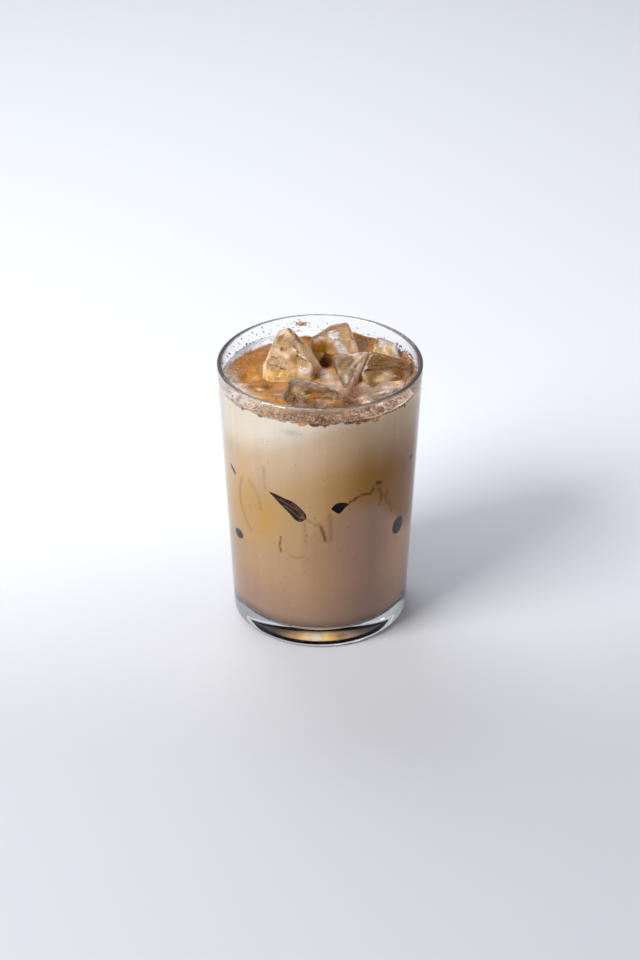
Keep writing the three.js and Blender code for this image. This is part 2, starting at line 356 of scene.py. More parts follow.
class Shader:
    """A material's nodes, made one at a time. A value may be a number, a colour or another's output."""

    # The sockets of a Mix node that mixes colours
    MIX_SHARE, MIX_FIRST, MIX_SECOND, MIX_RESULT = 0, 6, 7, 2

    def __init__(self, name):
        self.material = bpy.data.materials.new(name)
        self.material.use_nodes = True
        self.tree = self.material.node_tree
        self.surface = self.tree.nodes["Principled BSDF"]

    def put(self, socket, value):
        if isinstance(value, bpy.types.NodeSocket):
            self.tree.links.new(value, socket)
        else:
            socket.default_value = value

    def add(self, kind, values=None, **settings):
        made = self.tree.nodes.new(kind)
        for name, value in settings.items():
            setattr(made, name, value)
        for name, value in (values or {}).items():
            self.put(made.inputs[name], value)
        return made

    def principled(self, values):
        for name, value in values.items():
            self.put(self.surface.inputs[name], value)

    def value(self, name):
        return self.add("ShaderNodeAttribute", attribute_name=name).outputs["Fac"]

    def painted(self, name):
        made = self.add("ShaderNodeAttribute", attribute_name=name)
        return made.outputs["Color"], made.outputs["Alpha"]

    def shade(self, colour, ends, amount):
        """A colour made darker or lighter between two ends by an amount from 0 to 1."""
        values = {"Value": amount, "To Min": ends[0], "To Max": ends[1]}
        level = self.add("ShaderNodeMapRange", values).outputs[0]
        scaled = self.add("ShaderNodeVectorMath", {0: colour}, operation="SCALE")
        self.tree.links.new(level, scaled.inputs["Scale"])
        return scaled.outputs[0]

    def math(self, operation, first, second=0.0):
        return self.add("ShaderNodeMath", {0: first, 1: second}, operation=operation).outputs[0]

    def mix(self, share, first, second, blend="MIX"):
        made = self.add("ShaderNodeMix", data_type="RGBA", blend_type=blend)
        self.put(made.inputs[self.MIX_SHARE], share)
        self.put(made.inputs[self.MIX_FIRST], first)
        self.put(made.inputs[self.MIX_SECOND], second)
        return made.outputs[self.MIX_RESULT]

    def step(self, value, ends, out_ends=(0.0, 1.0)):
        """A value that goes smoothly from one end to the other while what it reads goes between two."""
        places = {"From Min": ends[0], "From Max": ends[1], "To Min": out_ends[0], "To Max": out_ends[1]}
        made = self.add("ShaderNodeMapRange", {"Value": value, **places}, interpolation_type="SMOOTHSTEP")
        return made.outputs["Result"]

    def noise(self, per_millimetre, detail=2.0, stretch=(1, 1, 1), roughness=0.5):
        """Noise from 0 to 1 over the place on the object, stretched where the scale is under 1."""
        place = self.add("ShaderNodeTexCoord").outputs["Object"]
        scaled = self.add("ShaderNodeVectorMath", {0: place, 1: stretch}, operation="MULTIPLY").outputs[0]
        values = {"Vector": scaled, "Scale": per_millimetre / MM, "Detail": detail, "Roughness": roughness}
        return self.add("ShaderNodeTexNoise", values).outputs["Fac"]

    def spots(self, spots):
        """How much of a kind of spots shows: from 0 to its most, where its noise is between its ends."""
        return self.step(self.noise(*spots["noise"]), spots["ends"], (0.0, spots["most"]))

    def bump(self, height, distance, strength):
        values = {"Height": height, "Distance": distance * MM, "Strength": strength}
        return self.add("ShaderNodeBump", values).outputs["Normal"]

    def mirror_against_glass(self, bend, brightness=1.0):
        """The clear reflection where glass meets what it holds, total at a flat angle. The bend is how
        much what it holds bends light beside what the glass does."""
        share = self.add("ShaderNodeFresnel", {"IOR": bend}).outputs[0]
        look = {"Color": (brightness,) * 3 + (1,), "Roughness": 0.0}
        mirror = self.add("ShaderNodeBsdfGlossy", look).outputs[0]
        mixed = self.add("ShaderNodeMixShader", {0: share, 1: self.surface.outputs[0], 2: mirror})
        output = self.tree.nodes["Material Output"]
        self.tree.links.new(mixed.outputs[0], output.inputs["Surface"])


# The camera, the floor and the lights

# The floor's colour changes from front to back over twice the blend, round the middle of the glass
FLOOR = {"half": 3000, "height": -0.05, "blend": 120, "roughness": 0.8}
# Painted shade and painted light: the floor is darker in front of the glass and lighter behind it
FLOOR_COLOURS = ((180, 181, 187), (222, 224, 230))
BRIGHT_SIDE = (-0.6, 0.5, 0.62)
SKY_LIGHT = (0.21, 0.5)  # at the dark side and at the bright side
SKY_COLOUR = (0.88, 0.92, 1.0, 1)
KEY_PLACE = (-54, 38)
# Each lamp's angle and how high it stands, its distance, its size, its watts and its colour
LAMPS = {
    "key": (KEY_PLACE, 1200, 600, 19.5, (1.0, 0.98, 0.95)),
    "back": ((-160, 50), 1300, 700, 6, (0.95, 0.98, 1.0)),
    "fill": ((75, 25), 1200, 600, 2.2, (1.0, 0.93, 0.86)),
}
FOOT_LAMP = {"place": (0, -16, 3.2), "size": 24, "watts": 0.001, "colour": (1.0, 0.95, 0.9)}


def add_camera():
    data = bpy.data.cameras.new("camera")
    data.lens = CAMERA_LENS
    camera = put_in_scene("camera", data)
    lift = math.radians(CAMERA_ELEVATION)
    back = Vector((0, -math.cos(lift), math.sin(lift)))
    camera.location = (Vector(CAMERA_AIM) + back * CAMERA_DISTANCE) * MM
    camera.rotation_euler = back.to_track_quat("Z", "Y").to_euler()
    bpy.context.scene.camera = camera


def add_floor():
    """The floor lies just under the foot, so that the two don't touch."""
    half, height, blend = FLOOR["half"], FLOOR["height"], FLOOR["blend"] * MM
    corners = [(-half, -half, height), (half, -half, height), (half, half, height), (-half, half, height)]
    floor = object_of("floor", corners, [(0, 1, 2, 3)])
    shader = Shader("floor")
    place = shader.add("ShaderNodeTexCoord").outputs["Object"]
    towards_back = shader.add("ShaderNodeSeparateXYZ", {0: place}).outputs["Y"]
    behind = shader.step(towards_back, (-blend, blend))
    colour = shader.mix(behind, *(opaque(*colour) for colour in FLOOR_COLOURS))
    shader.principled({"Base Color": colour, "Roughness": FLOOR["roughness"]})
    floor.data.materials.append(shader.material)


def direction(angle, elevation):
    """Towards a place given by its angle and its elevation."""
    turn, lift = math.radians(angle), math.radians(elevation)
    return Vector((math.sin(turn) * math.cos(lift), -math.cos(turn) * math.cos(lift), math.sin(lift)))


KEY_DIRECTION = np.array(direction(*KEY_PLACE))


def lamp_of(name, size, watts, colour):
    data = bpy.data.lights.new(name, "AREA")
    data.size = size * MM
    data.energy = watts
    data.color = colour
    return put_in_scene(name, data)


def add_lamps():
    """Square lamps that point at the middle of the glass."""
    for name, (place, distance, size, watts, colour) in LAMPS.items():
        lamp = lamp_of(name, size, watts, colour)
        towards = direction(*place)
        lamp.location = (towards * distance + Vector((0, 0, GLASS_HEIGHT / 2))) * MM
        lamp.rotation_euler = towards.to_track_quat("Z", "Y").to_euler()


def add_foot_lamp():
    """Stands for the light that comes up into the foot of the glass, which takes far too long to find.
    Nothing shows it but the drink's underside."""
    lamp = lamp_of("foot", FOOT_LAMP["size"], FOOT_LAMP["watts"], FOOT_LAMP["colour"])
    lamp.data.shape = "DISK"
    lamp.location = Vector(FOOT_LAMP["place"]) * MM
    lamp.rotation_euler = (math.pi, 0, 0)
    lamp.visible_camera = False
    lamp.visible_glossy = False
    lamp.visible_transmission = False


def add_sky():
    world = bpy.data.worlds.new("studio")
    world.use_nodes = True
    tree = world.node_tree
    place = tree.nodes.new("ShaderNodeTexCoord")
    towards_bright = tree.nodes.new("ShaderNodeVectorMath")
    towards_bright.operation = "DOT_PRODUCT"
    towards_bright.inputs[1].default_value = BRIGHT_SIDE
    ramp = tree.nodes.new("ShaderNodeMapRange")
    ramp.interpolation_type = "SMOOTHSTEP"
    for name, value in (("From Min", -1.0), ("To Min", SKY_LIGHT[0]), ("To Max", SKY_LIGHT[1])):
        ramp.inputs[name].default_value = value
    background = tree.nodes["Background"]
    background.inputs["Color"].default_value = SKY_COLOUR
    tree.links.new(place.outputs["Generated"], towards_bright.inputs[0])
    tree.links.new(towards_bright.outputs["Value"], ramp.inputs["Value"])
    tree.links.new(ramp.outputs["Result"], background.inputs["Strength"])
    bpy.context.scene.world = world


# Bodies of revolution and the shapes of the solids


def inner_radius(height):
    foot = FOOT_RADIUS - WALL_AT_FOOT
    return foot + (RIM_RADIUS - WALL_AT_RIM - foot) * height / GLASS_HEIGHT


EDGE_RADIUS = inner_radius(DRINK_LEVEL)
OUTER_LEAN = math.atan((RIM_RADIUS - FOOT_RADIUS) / GLASS_HEIGHT)
INNER_LEAN = math.atan((RIM_RADIUS - WALL_AT_RIM - FOOT_RADIUS + WALL_AT_FOOT) / GLASS_HEIGHT)
AZIMUTHS = np.arange(SEGMENTS) * 2 * math.pi / SEGMENTS


def arc(centre_radius, centre_height, radius, start, stop, steps):
    angles = np.linspace(start, stop, steps + 1)
    return [(centre_radius + radius * math.cos(a), centre_height + radius * math.sin(a)) for a in angles]


def corner_arc(wall_radius, floor_height, lean, radius, steps):
    """The arc that joins a leaning wall to a level floor."""
    centre_radius = wall_radius + radius * math.tan(lean) - radius / math.cos(lean)
    return arc(centre_radius, floor_height + radius, radius, -math.pi / 2, -lean, steps)


def ring(radius, height):
    """One ring of points. Its radius and height may differ round the glass."""
    radius = np.broadcast_to(radius, SEGMENTS)
    height = np.broadcast_to(height, SEGMENTS)
    return np.column_stack([radius * np.cos(AZIMUTHS), radius * np.sin(AZIMUTHS), height])


def ring_faces(count, rings):
    """The faces of a closed body: a point, so many rings of so many points, and a point."""
    steps = np.arange(count)
    following = (steps + 1) % count
    last = 1 + rings * count
    faces = [(0, 1 + b, 1 + a) for a, b in zip(steps, following)]
    for first in range(1, last - count, count):
        second = first + count
        faces.extend(zip(first + steps, first + following, second + following, second + steps))
    faces.extend((last, last - count + a, last - count + b) for a, b in zip(steps, following))
    return [tuple(int(i) for i in face) for face in faces]


def turned(name, start_height, rings, end_height):
    """A closed body from rings of points, with a point on the axis at each end."""
    points = np.vstack([[(0, 0, start_height)], *rings, [(0, 0, end_height)]])
    return object_of(name, points, ring_faces(SEGMENTS, len(rings)))


def surface_height(x, y):
    """The drink's surface without its finer relief."""
    meniscus = MENISCUS_RISE * np.exp((np.hypot(x, y) - EDGE_RADIUS) / MENISCUS_WIDTH)
    ripple = np.sin(RIPPLES["along_x"] * x + RIPPLES["shift"]) * np.cos(RIPPLES["along_y"] * y)
    crossing = np.sin(CROSSING_RIPPLES["along_x"] * x + CROSSING_RIPPLES["along_y"] * y)
    waves = RIPPLES["height"] * ripple + CROSSING_RIPPLES["height"] * crossing
    return DRINK_LEVEL + np.minimum(meniscus, MENISCUS_RISE) + waves


def from_pit(x, y):
    """About how far a place is from the pit's edge, less than 0 inside."""
    away = np.hypot((x - PIT["x"]) / PIT["across"], (y - PIT["y"]) / PIT["along"])
    return (away - 1) * PIT["across"]


def milk_floor(x, y):
    past = x - MILK_BEND["x"]
    drop = MILK_DROP / 2 * (np.hypot(past, MILK_BEND["width"]) - past)
    lobe = np.sin(MILK_LOBES["along_x"] * x + MILK_LOBES["along_y"] * y + MILK_LOBES["shift"])
    return MILK_THIN_FLOOR - drop + MILK_LOBES["height"] * lobe


def coffee_floor(x, y):
    azimuth = np.degrees(np.arctan2(y, x))
    past = wrapped(azimuth - COFFEE_HUMP["azimuth"])
    width = np.where(past < 0, COFFEE_HUMP["towards_left"], COFFEE_HUMP["towards_right"])
    edge = np.minimum(1, np.hypot(x, y) / (FOOT_RADIUS - WALL_AT_FOOT)) ** 2
    hump = COFFEE_HUMP["height"] * np.exp(-((past / width) ** 2))
    lobe = np.sin(np.radians(COFFEE_LOBES["count"] * azimuth + COFFEE_LOBES["shift"]))
    return COFFEE_FLOOR + edge * (hump + COFFEE_LOBES["height"] * lobe)


# The glass

GLASS_COLOUR = (0.985, 0.995, 0.99, 1)
# How much the two kinds of glass mirror, and how clear they are
# The rim's glass is a little less clear, which paints the rim lighter: a painted highlight
GLASS_LOOKS = {"clear_glass": ((0.2, 0.2, 0.2, 1), 1.0), "rim_glass": ((1, 1, 1, 1), 0.95)}
GLASS_WAVES = {"noise": (0.06, 2.0, (1, 1, 0.3)), "height": 0.05, "strength": 0.5}


def glass_outline():
    rim_radius = WALL_AT_RIM / 2
    shares = np.linspace(0, 1, GLASS_STEPS["punt"] + 1)[1:]
    punt = [(PUNT_RADIUS * share, PUNT_DEPTH * (1 - share * share)) for share in shares]
    heel = corner_arc(FOOT_RADIUS, 0, OUTER_LEAN, HEEL_RADIUS, GLASS_STEPS["heel"])
    rim = arc(
        RIM_RADIUS - rim_radius, GLASS_HEIGHT - rim_radius, rim_radius, 0, math.pi, GLASS_STEPS["rim"]
    )
    inside = inner_radius(FLOOR_HEIGHT)
    corner = corner_arc(inside, FLOOR_HEIGHT, INNER_LEAN, FLOOR_FILLET, GLASS_STEPS["corner"])
    outer = points_between(heel[-1], rim[0], GLASS_STEPS["wall"])
    inner = points_between(rim[-1], corner[-1], GLASS_STEPS["wall"])
    floor = points_between(corner[0], (0, FLOOR_HEIGHT), GLASS_STEPS["floor"])
    return [*punt, *heel, *outer, *rim, *inner, *corner[::-1], *floor]


def glass_material(name, mirrored, clearness):
    shader = Shader(name)
    waves = shader.noise(*GLASS_WAVES["noise"])
    shader.principled(
        {
            "Base Color": GLASS_COLOUR,
            "Roughness": 0.0,
            "IOR": GLASS_BEND,
            "Specular Tint": mirrored,
            "Transmission Weight": clearness,
            "Normal": shader.bump(waves, GLASS_WAVES["height"], GLASS_WAVES["strength"]),
        }
    )
    return shader.material


def add_glass():
    rings = [ring(*place) for place in glass_outline()]
    glass = turned("tumbler", PUNT_DEPTH, rings, FLOOR_HEIGHT)
    smooth_shading(glass, "glass")
    materials = [glass_material(name, *look) for name, look in GLASS_LOOKS.items()]
    finished(glass, materials, "clear_glass", "glass")
    use_second_material(glass, centres_of(glass)[:, 2] > GLASS_HEIGHT - WALL_AT_RIM / 2)


# The ice

ICE_VOXEL = 0.5
ICE_SOFTENING = {"cloudy": 3, "melting": 2}
ICE_HOLLOWS = {"noise": (0.16, 3), "depth": 0.35}
ICE_RIPPLES = {"noise": (0.6, 4), "height": 0.1}
ICE_SHELL = {"noise": (0.3, 6), "depth": 0.45, "uneven": 0.3}  # the clear ice round the cloudy inside
# On the ridges the ice is made less clear by the brightness below: a painted highlight along its edges
ICE_RIDGES = {"softening": 12, "height": 0.22, "brightness": 0.22}
ICE_DUST = {"noise": (0.2, 8), "share": 0.4, "uneven": 1.5, "facing_up": (-0.1, 0.7)}
POCKET_INSET = 0.08  # how far the drink reaches into the ice, so that no air gap shows

CLEAR_ICE = {"colour": (0.99, 0.97, 0.93, 1), "mirrored": (0.4, 0.36, 0.32, 1), "roughness": 0.03}
ICE_WAVES = {"noise": (0.3, 3.0), "height": 0.15, "strength": 0.5}
DUST_SPECKS = {"noise": (1.2, 2.0), "ends": (0.62, 0.68), "most": 0.8}
DUST_COLOUR = (110, 74, 46)
CLOUDS = {"noise": (0.35, 3.0, (0.4, 0.4, 2)), "shades": (0.8, 1.2)}
# Thin dark lines, where a noise comes near to its middle
CRACKS = {"noise": (0.2, 3.0, (0.5, 0.5, 2)), "half_width": 0.012, "most": 0.5}
CRACK_COLOUR = (84, 56, 32)
CLOUDY_ROUGHNESS = 0.4

# How bright a white thing looks in the ice: away from the key light, what that adds and what facing up
# adds. The shade is a little blue, and the key light a little yellow.
ICE_LIGHT = {"shade": 0.32, "key": 0.56, "up": 0.16}
SHADE_COLOUR = (0.92, 1.0, 1.1)
KEY_COLOUR = (1.06, 1.0, 0.93)
ICE_VEIL = (0.012, 0.018, 0.036)  # the light that the clear ice throws back by itself
ICE_BRIGHTEST = 0.9
# The veins in the ice: noises that are the same in all of it, and one that runs along each piece
ICE_VEINS = [((0.25, 0.25, 0.6), 31, 1), ((0.6, 0.6, 1.8), 32, 0.7)]
GRAIN_VEINS = {"seed": 35, "share": 1.2}
VEIN_DEPTH = 0.25
STROKE_BREAKS = {"noise": (0.9, 33), "ends": (-0.45, 0.05)}
STROKE_DEPTH = 3  # how far behind or in front of itself a line is painted
# How sharply a spot and a line end in the ice, and a line in depth: the power that each is raised to
SPOT_EDGE, STROKE_EDGE, STROKE_END = 2.5, 1.5, 4
# The way the veins run in each piece: the scale of their noise along x, y and z, small along them
ICE_GRAINS = {
    "ice_peak": (0.6, 0.6, 0.2),
    "ice_back": (0.7, 0.7, 0.12),
    "ice_corner": (0.7, 0.7, 0.12),
    "ice_slab": (0.1, 0.8, 0.9),
    "ice_tooth": (0.8, 0.3, 0.1),
    "ice_front": (0.8, 0.5, 0.15),
    "ice_low_right": (0.2, 0.8, 0.5),
}
# How dark each piece is, and its own colour
ICE_BASES = {
    "ice_peak": (1.0, "beige"),
    "ice_back": (1.06, "tan"),
    "ice_corner": (1.2, "cream"),
    "ice_slab": (1.2, "brown"),
    "ice_tooth": (1.5, "tan"),
    "ice_front": (1.6, "brown"),
    "ice_low_right": (1.6, "blush"),
}
# What shows in the ice and lies on it: a colour, its place, half its width and height across the view
# from the front, and how far it leans to the right of upright
# Painted highlights among them are marked
ICE_SPOTS = {
    "ice_peak": [
        ("shell", (-15, 11, 127), (2.5, 2.3), 0),
        ("taupe", (-16.5, 9, 125.5), (1, 2.3), 35),
        ("mauve", (-11.5, 7, 124.5), (1.9, 1.9), 0),
        ("taupe", (-9, 8.5, 125), (1.2, 3.1), -40),
        ("shell", (-18, 4.5, 122), (1.5, 2.5), 10),
        ("rust", (-16, 5, 122.5), (0.6, 0.6), 0),
        ("ivory", (-14.5, 2, 121), (2.7, 1.3), 30),
        ("tan", (-10.5, 0.5, 120.5), (2.5, 2.5), 0),
        ("blush", (-17, -0.5, 118.5), (4.2, 1), 0),
        ("beige", (-5, 5.5, 120.5), (1.7, 2.9), -30),
        ("honey", (-18.5, -4, 115), (5.8, 2.9), 0),
        # Painted highlight on the lower left edge
        ("ivory", (-24, -0.5, 116), (1, 2.5), 20),
        # Painted highlights low on the right, in this line and the next
        ("pearl", (-6.5, -4.5, 117), (3.3, 1.5), 0),
        ("ivory", (-6, -5, 114.5), (2.5, 0.6), 0),
        ("shell", (-3.5, 7, 118), (2, 5), -35),
        ("brown", (-1, 1.5, 113), (1.2, 2.1), 0),
        ("rust", (-1.5, 0, 112.5), (1, 0.5), 20),
    ],
    "ice_back": [
        ("blush", (-1.5, 23, 118), (3.3, 1.5), 0),
        ("amber", (0.5, 20.5, 115), (4.6, 2.7), 0),
        ("pearl", (6, 22.5, 120.5), (2.5, 1.7), 0),
        ("beige", (11.5, 19, 118.5), (2.1, 4.6), -20),
        ("sand", (15, 18.5, 117), (1.7, 2.9), -20),
        ("beige", (4.5, 18, 114), (2.1, 1.2), 0),
    ],
    "ice_corner": [
        # Painted highlights: the two white spots of this piece
        ("white", (27, 21, 118), (1.7, 2.1), 0),
        ("honey", (25.5, 17.5, 115.5), (1.2, 1.7), 0),
        ("honey", (29.5, 17.5, 116), (1.5, 2.1), 0),
        ("white", (32, 17.5, 116.5), (1.5, 2.9), -10),
        ("shell", (32, 14.5, 114), (2.5, 1.2), 15),
    ],
    "ice_slab": [
        ("olive", (21.5, 3.5, 118), (5, 2.1), 8),
        ("taupe", (29.5, 2, 116), (4.2, 1.7), 5),
        # Painted highlight on the upper left ridge
        ("shell", (19, -0.5, 117), (1, 1.7), 30),
        ("brown", (20.5, -5, 113.5), (3, 3), 0),
        ("cream", (27, -4, 114), (4.5, 2), -20),
        ("amber", (18, -5, 112), (1.7, 2.1), 0),
        ("rust", (32.5, -1.5, 114.5), (2.9, 1.7), 0),
    ],
    "ice_tooth": [
        ("mauve", (9.5, 7.5, 117.5), (3.3, 1.4), 0),
        ("tan", (9.5, 2.5, 115.5), (2.5, 3.3), 0),
        ("brown", (6.5, 4.5, 114.5), (0.8, 3.8), -10),
        ("shell", (15.5, 5.5, 118.5), (1.7, 1.7), 35),
        ("olive", (8.5, -4.5, 113.5), (0.8, 3.3), -15),
        ("brown", (13.5, -4, 115.5), (1.2, 2.9), 20),
        ("brown", (10, -10, 113), (3, 3), 0),
        ("copper", (11, -13, 112.5), (1.5, 2.1), 0),
        # Painted highlight on the lower facet
        ("ivory", (11, -5.5, 114.5), (0.9, 2.9), 0),
    ],
    "ice_front": [
        ("mauve", (-8, -15, 117.5), (4.2, 1.2), 5),
        ("mauve", (-1, -19, 117), (3.8, 1.2), 20),
        ("honey", (-10, -19.5, 116.5), (1.9, 1.9), 0),
        ("taupe", (-15, -17.5, 114.5), (1.7, 2.9), 15),
        ("copper", (1, -24, 115), (8, 2.2), 12),
        ("umber", (-4.5, -21, 116), (1.7, 0.8), 0),
        ("olive", (-8, -25.5, 115), (3.3, 1.2), 0),
    ],
    "ice_low_right": [
        ("shell", (24.5, -16, 113.5), (3.3, 1.2), -10),
        ("white", (27, -15, 113.5), (2.5, 1.2), -10),
    ],
}
# The thin lines in the ice and along its edges: a colour, the line and half its width
# Painted highlights, reflections and shadows among them are marked
ICE_STROKES = {
    "ice_peak": [
        ("umber", [(-13.5, 13, 128), (-10, 10, 125.5), (-7, 8, 123)], 0.5),
        # Painted highlight down the right edge
        ("ivory", [(-5.5, 11.5, 121.5), (-3.5, 9, 119.5), (-1.5, 6.5, 116.5), (0, 4, 114.5)], 0.5),
        # Painted glint
        ("white", [(-8.5, 2, 121.5), (-6, -0.5, 120.5), (-4, -3, 119)], 0.4),
        ("umber", [(-10, 2, 121.5), (-7.5, 0, 120.5), (-4.5, -1.5, 119.5)], 0.4),
        ("umber", [(-11, 5.5, 123.5), (-9, 3, 122)], 0.35),
        # Painted glint
        ("white", [(-12, 4.5, 123), (-10, 3.5, 122.5)], 0.35),
        ("umber", [(-21.5, -0.5, 118), (-18.5, -1.5, 118), (-15, -2.5, 117)], 0.35),
        # Painted highlight along the lower left edge
        ("ivory", [(-23.5, -5, 111.5), (-20, -5.5, 111.5), (-16.5, -6, 112)], 0.35),
        ("umber", [(-20, 2.5, 120), (-18, 1.5, 120)], 0.4),
    ],
    "ice_back": [
        # Painted reflection of the bright room seen through the ice
        ("white", [(5, 23.5, 120.5), (7.5, 18.5, 118.5), (10, 17.5, 114)], 1.7),
        ("rust", [(-4, 23.5, 116.5), (0, 25, 119), (5.5, 27, 121)], 0.5),
        ("umber", [(5.5, 23, 120.5), (7, 24.5, 121)], 0.4),
        ("umber", [(13, 20.5, 120), (15.5, 19.5, 117.5), (16.5, 18.5, 114)], 0.3),
    ],
    "ice_corner": [
        # Painted highlights, in this line and the next
        ("white", [(27.5, 19, 117), (27.5, 16, 115)], 0.35),
        ("white", [(25, 19, 116.5), (30.5, 18, 117)], 0.3),
        ("rust", [(25.5, 23, 118.5), (27, 22.5, 118), (31, 20.5, 117.5)], 0.7),
        ("rust", [(24.5, 23, 118.5), (24, 20, 116.5)], 0.7),
    ],
    "ice_slab": [
        # Painted shadow under the edge of the top face, in this line and the next
        ("soot", [(17.5, -2.5, 116), (20, -2, 116.5), (23.5, -1.5, 116)], 0.55),
        ("umber", [(23.5, -1.5, 116), (28.5, 0.5, 116), (32.5, 1, 115.5), (37, 0.5, 114.5)], 0.4),
        ("umber", [(23, 4.5, 118), (28.5, 4.5, 117), (34.5, 4.5, 115.5)], 0.35),
        ("umber", [(19, 0.5, 117.5), (25, 1, 116.5), (30, 3, 116.5)], 0.3),
        # Painted glint
        ("white", [(26.5, -2.5, 115), (28.5, -2.5, 114)], 0.35),
        ("ivory", [(29.5, -3, 114), (33, -3, 113.5)], 0.3),
        ("honey", [(20, 3.5, 118), (22.5, 7, 119), (27.5, 7, 118)], 0.3),
    ],
    "ice_tooth": [
        # Painted highlights along the crest and the ridges, in this line and the next two
        ("white", [(7, 9.5, 117.5), (10.5, 9, 118), (14, 7, 118.5), (17, 8, 119.5), (20, 7.5, 120)], 0.4),
        ("ivory", [(20, 7.5, 120), (16.5, 4.5, 118.5), (14, 2.5, 116.5), (12.5, 0.5, 115.5)], 0.6),
        ("white", [(16.5, 1, 117.5), (15, -3, 116), (13.5, -8, 114.5), (12, -12, 113)], 0.35),
        ("umber", [(6, 9.5, 117), (6.5, 3, 115), (8.5, -4.5, 113.5), (10, -10, 113)], 0.35),
        ("umber", [(13, -0.5, 115.5), (14.5, -6, 115), (13, -11.5, 113)], 0.35),
    ],
    "ice_front": [
        ("umber", [(-12.5, -12.5, 117.5), (-12.5, -18.5, 115.5), (-13, -22, 114)], 0.35),
        ("umber", [(-3.5, -24, 115), (1.5, -23.5, 115), (7.5, -26, 115.5)], 0.4),
        # Painted glints
        ("gold", [(-7.5, -21.5, 116), (-6, -23.5, 115.5), (-4.5, -22.5, 115.5)], 0.4),
        ("honey", [(-12.5, -12.5, 117.5), (-8, -13, 118), (-3, -16, 118), (2.5, -19.5, 117)], 0.3),
        ("soot", [(-10.5, -24, 114.5), (-8, -26.5, 114.5), (-5.5, -26, 114.5)], 0.5),
    ],
    "ice_low_right": [
        ("brown", [(18.5, -18.5, 113), (24.5, -15.5, 113.5), (29.5, -13.5, 113.5)], 0.35),
        ("white", [(19.5, -18, 113), (25.5, -14.5, 113)], 0.35),
    ],
}


def copied(name, source):
    made = put_in_scene(name, source.data.copy())
    made.data.materials.clear()
    return made


def rounded(kind, node_name):
    """A finely meshed copy of a block of ice with soft edges."""
    ice = copied(f"{kind}_{node_name}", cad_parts[node_name])
    remesh = ice.modifiers.new("remesh", "REMESH")
    remesh.mode = "VOXEL"
    remesh.voxel_size = ICE_VOXEL * MM
    softened(ice, ICE_SOFTENING[kind])
    return ice


def cloudy_core(node_name):
    """The cloudy inside of a block of ice, which comes nearer to its faces in some places."""
    core = rounded("cloudy", node_name)
    points = points_of(core)
    depth = ICE_SHELL["depth"] + ICE_SHELL["uneven"] * noise_at(points, *ICE_SHELL["noise"])
    set_points(core, points - normals_of(core) * depth[:, None])
    smooth_shading(core, "ice")
    return core


def melted_ice(node_name):
    """A block of ice with shallow hollows where it has melted."""
    ice = rounded("melting", node_name)
    points = points_of(ice)
    hollows = -np.abs(noise_at(points, *ICE_HOLLOWS["noise"])) * ICE_HOLLOWS["depth"]
    ripples = noise_at(points, *ICE_RIPPLES["noise"]) * ICE_RIPPLES["height"]
    set_points(ice, points + normals_of(ice) * (hollows + ripples)[:, None])
    smooth_shading(ice, "ice")
    return ice


def across_view(points):
    """Places as they lie across the view from the front: to the right, up and away."""
    lift = math.radians(CAMERA_ELEVATION)
    x, y, z = np.asarray(points, float).T
    up = y * math.sin(lift) + z * math.cos(lift)
    return np.column_stack([x, up, y * math.cos(lift) - z * math.sin(lift)])


def spot_share(points, place, half_sizes, lean):
    """How much of a spot lies on each point, from 0 to 1. It is about as deep as it is large."""
    turn = math.radians(lean)
    right, up, deep = (across_view(points) - across_view([place])).T
    wide = (right * math.cos(turn) - up * math.sin(turn)) / half_sizes[0]
    tall = (right * math.sin(turn) + up * math.cos(turn)) / half_sizes[1]
    return np.exp(-((wide**2 + tall**2 + (deep / (max(half_sizes) + 1)) ** 2) ** SPOT_EDGE))


def stroke_share(points, line, half_width):
    """How much of a line's paint lies on each point, from 0 to 1."""
    places, corners = across_view(points), across_view(line)
    share = np.zeros(len(points))
    for start, stop in zip(corners[:-1], corners[1:]):
        step = stop[:2] - start[:2]
        along = np.clip((places[:, :2] - start[:2]) @ step / (step @ step), 0, 1)[:, None]
        away = places - start - along * (stop - start)
        near = (away[:, 0] ** 2 + away[:, 1] ** 2) / half_width**2
        deep = away[:, 2] / STROKE_DEPTH
        share = np.maximum(share, np.exp(-(near**STROKE_EDGE) - deep**STROKE_END))
    return share


def ice_colours(node_name, points, normals):
    places = ragged(points, RAGGED["ice"])
    darkness, base = ICE_BASES[node_name]
    from_sky = ICE_LIGHT["shade"] + ICE_LIGHT["up"] * normals[:, 2]
    from_key = ICE_LIGHT["key"] * np.maximum(0, normals @ KEY_DIRECTION)
    light = darkness * (np.outer(from_sky, SHADE_COLOUR) + np.outer(from_key, KEY_COLOUR))
    colours = np.tile(paint(base), (len(points), 1))
    for name, place, half_sizes, lean in ICE_SPOTS[node_name]:
        colours = laid_over(colours, spot_share(places, place, half_sizes, lean), paint(name))
    unbroken = smooth(*STROKE_BREAKS["ends"], noise_at(points, *STROKE_BREAKS["noise"]))
    for name, line, half_width in ICE_STROKES[node_name]:
        colours = laid_over(colours, unbroken * stroke_share(places, line, half_width), paint(name))
    grain = (ICE_GRAINS[node_name], GRAIN_VEINS["seed"], GRAIN_VEINS["share"])
    veins = mixed_noise(points, [*ICE_VEINS, grain])
    colours = (colours * (1 + VEIN_DEPTH * veins)[:, None] - ICE_VEIL) / light
    return colours / np.maximum(1, colours.max(1) / ICE_BRIGHTEST)[:, None]


def ridges(made):
    """How much each point of a mesh stands out, from about -1 in a crease to 1 on an edge."""
    smoother = copied("smoother", made)
    softened(smoother, ICE_RIDGES["softening"])
    out = ((points_of(made) - points_of(smoother)) * normals_of(made)).sum(1)
    bpy.data.objects.remove(smoother)
    return np.clip(out / ICE_RIDGES["height"], -1, 1)


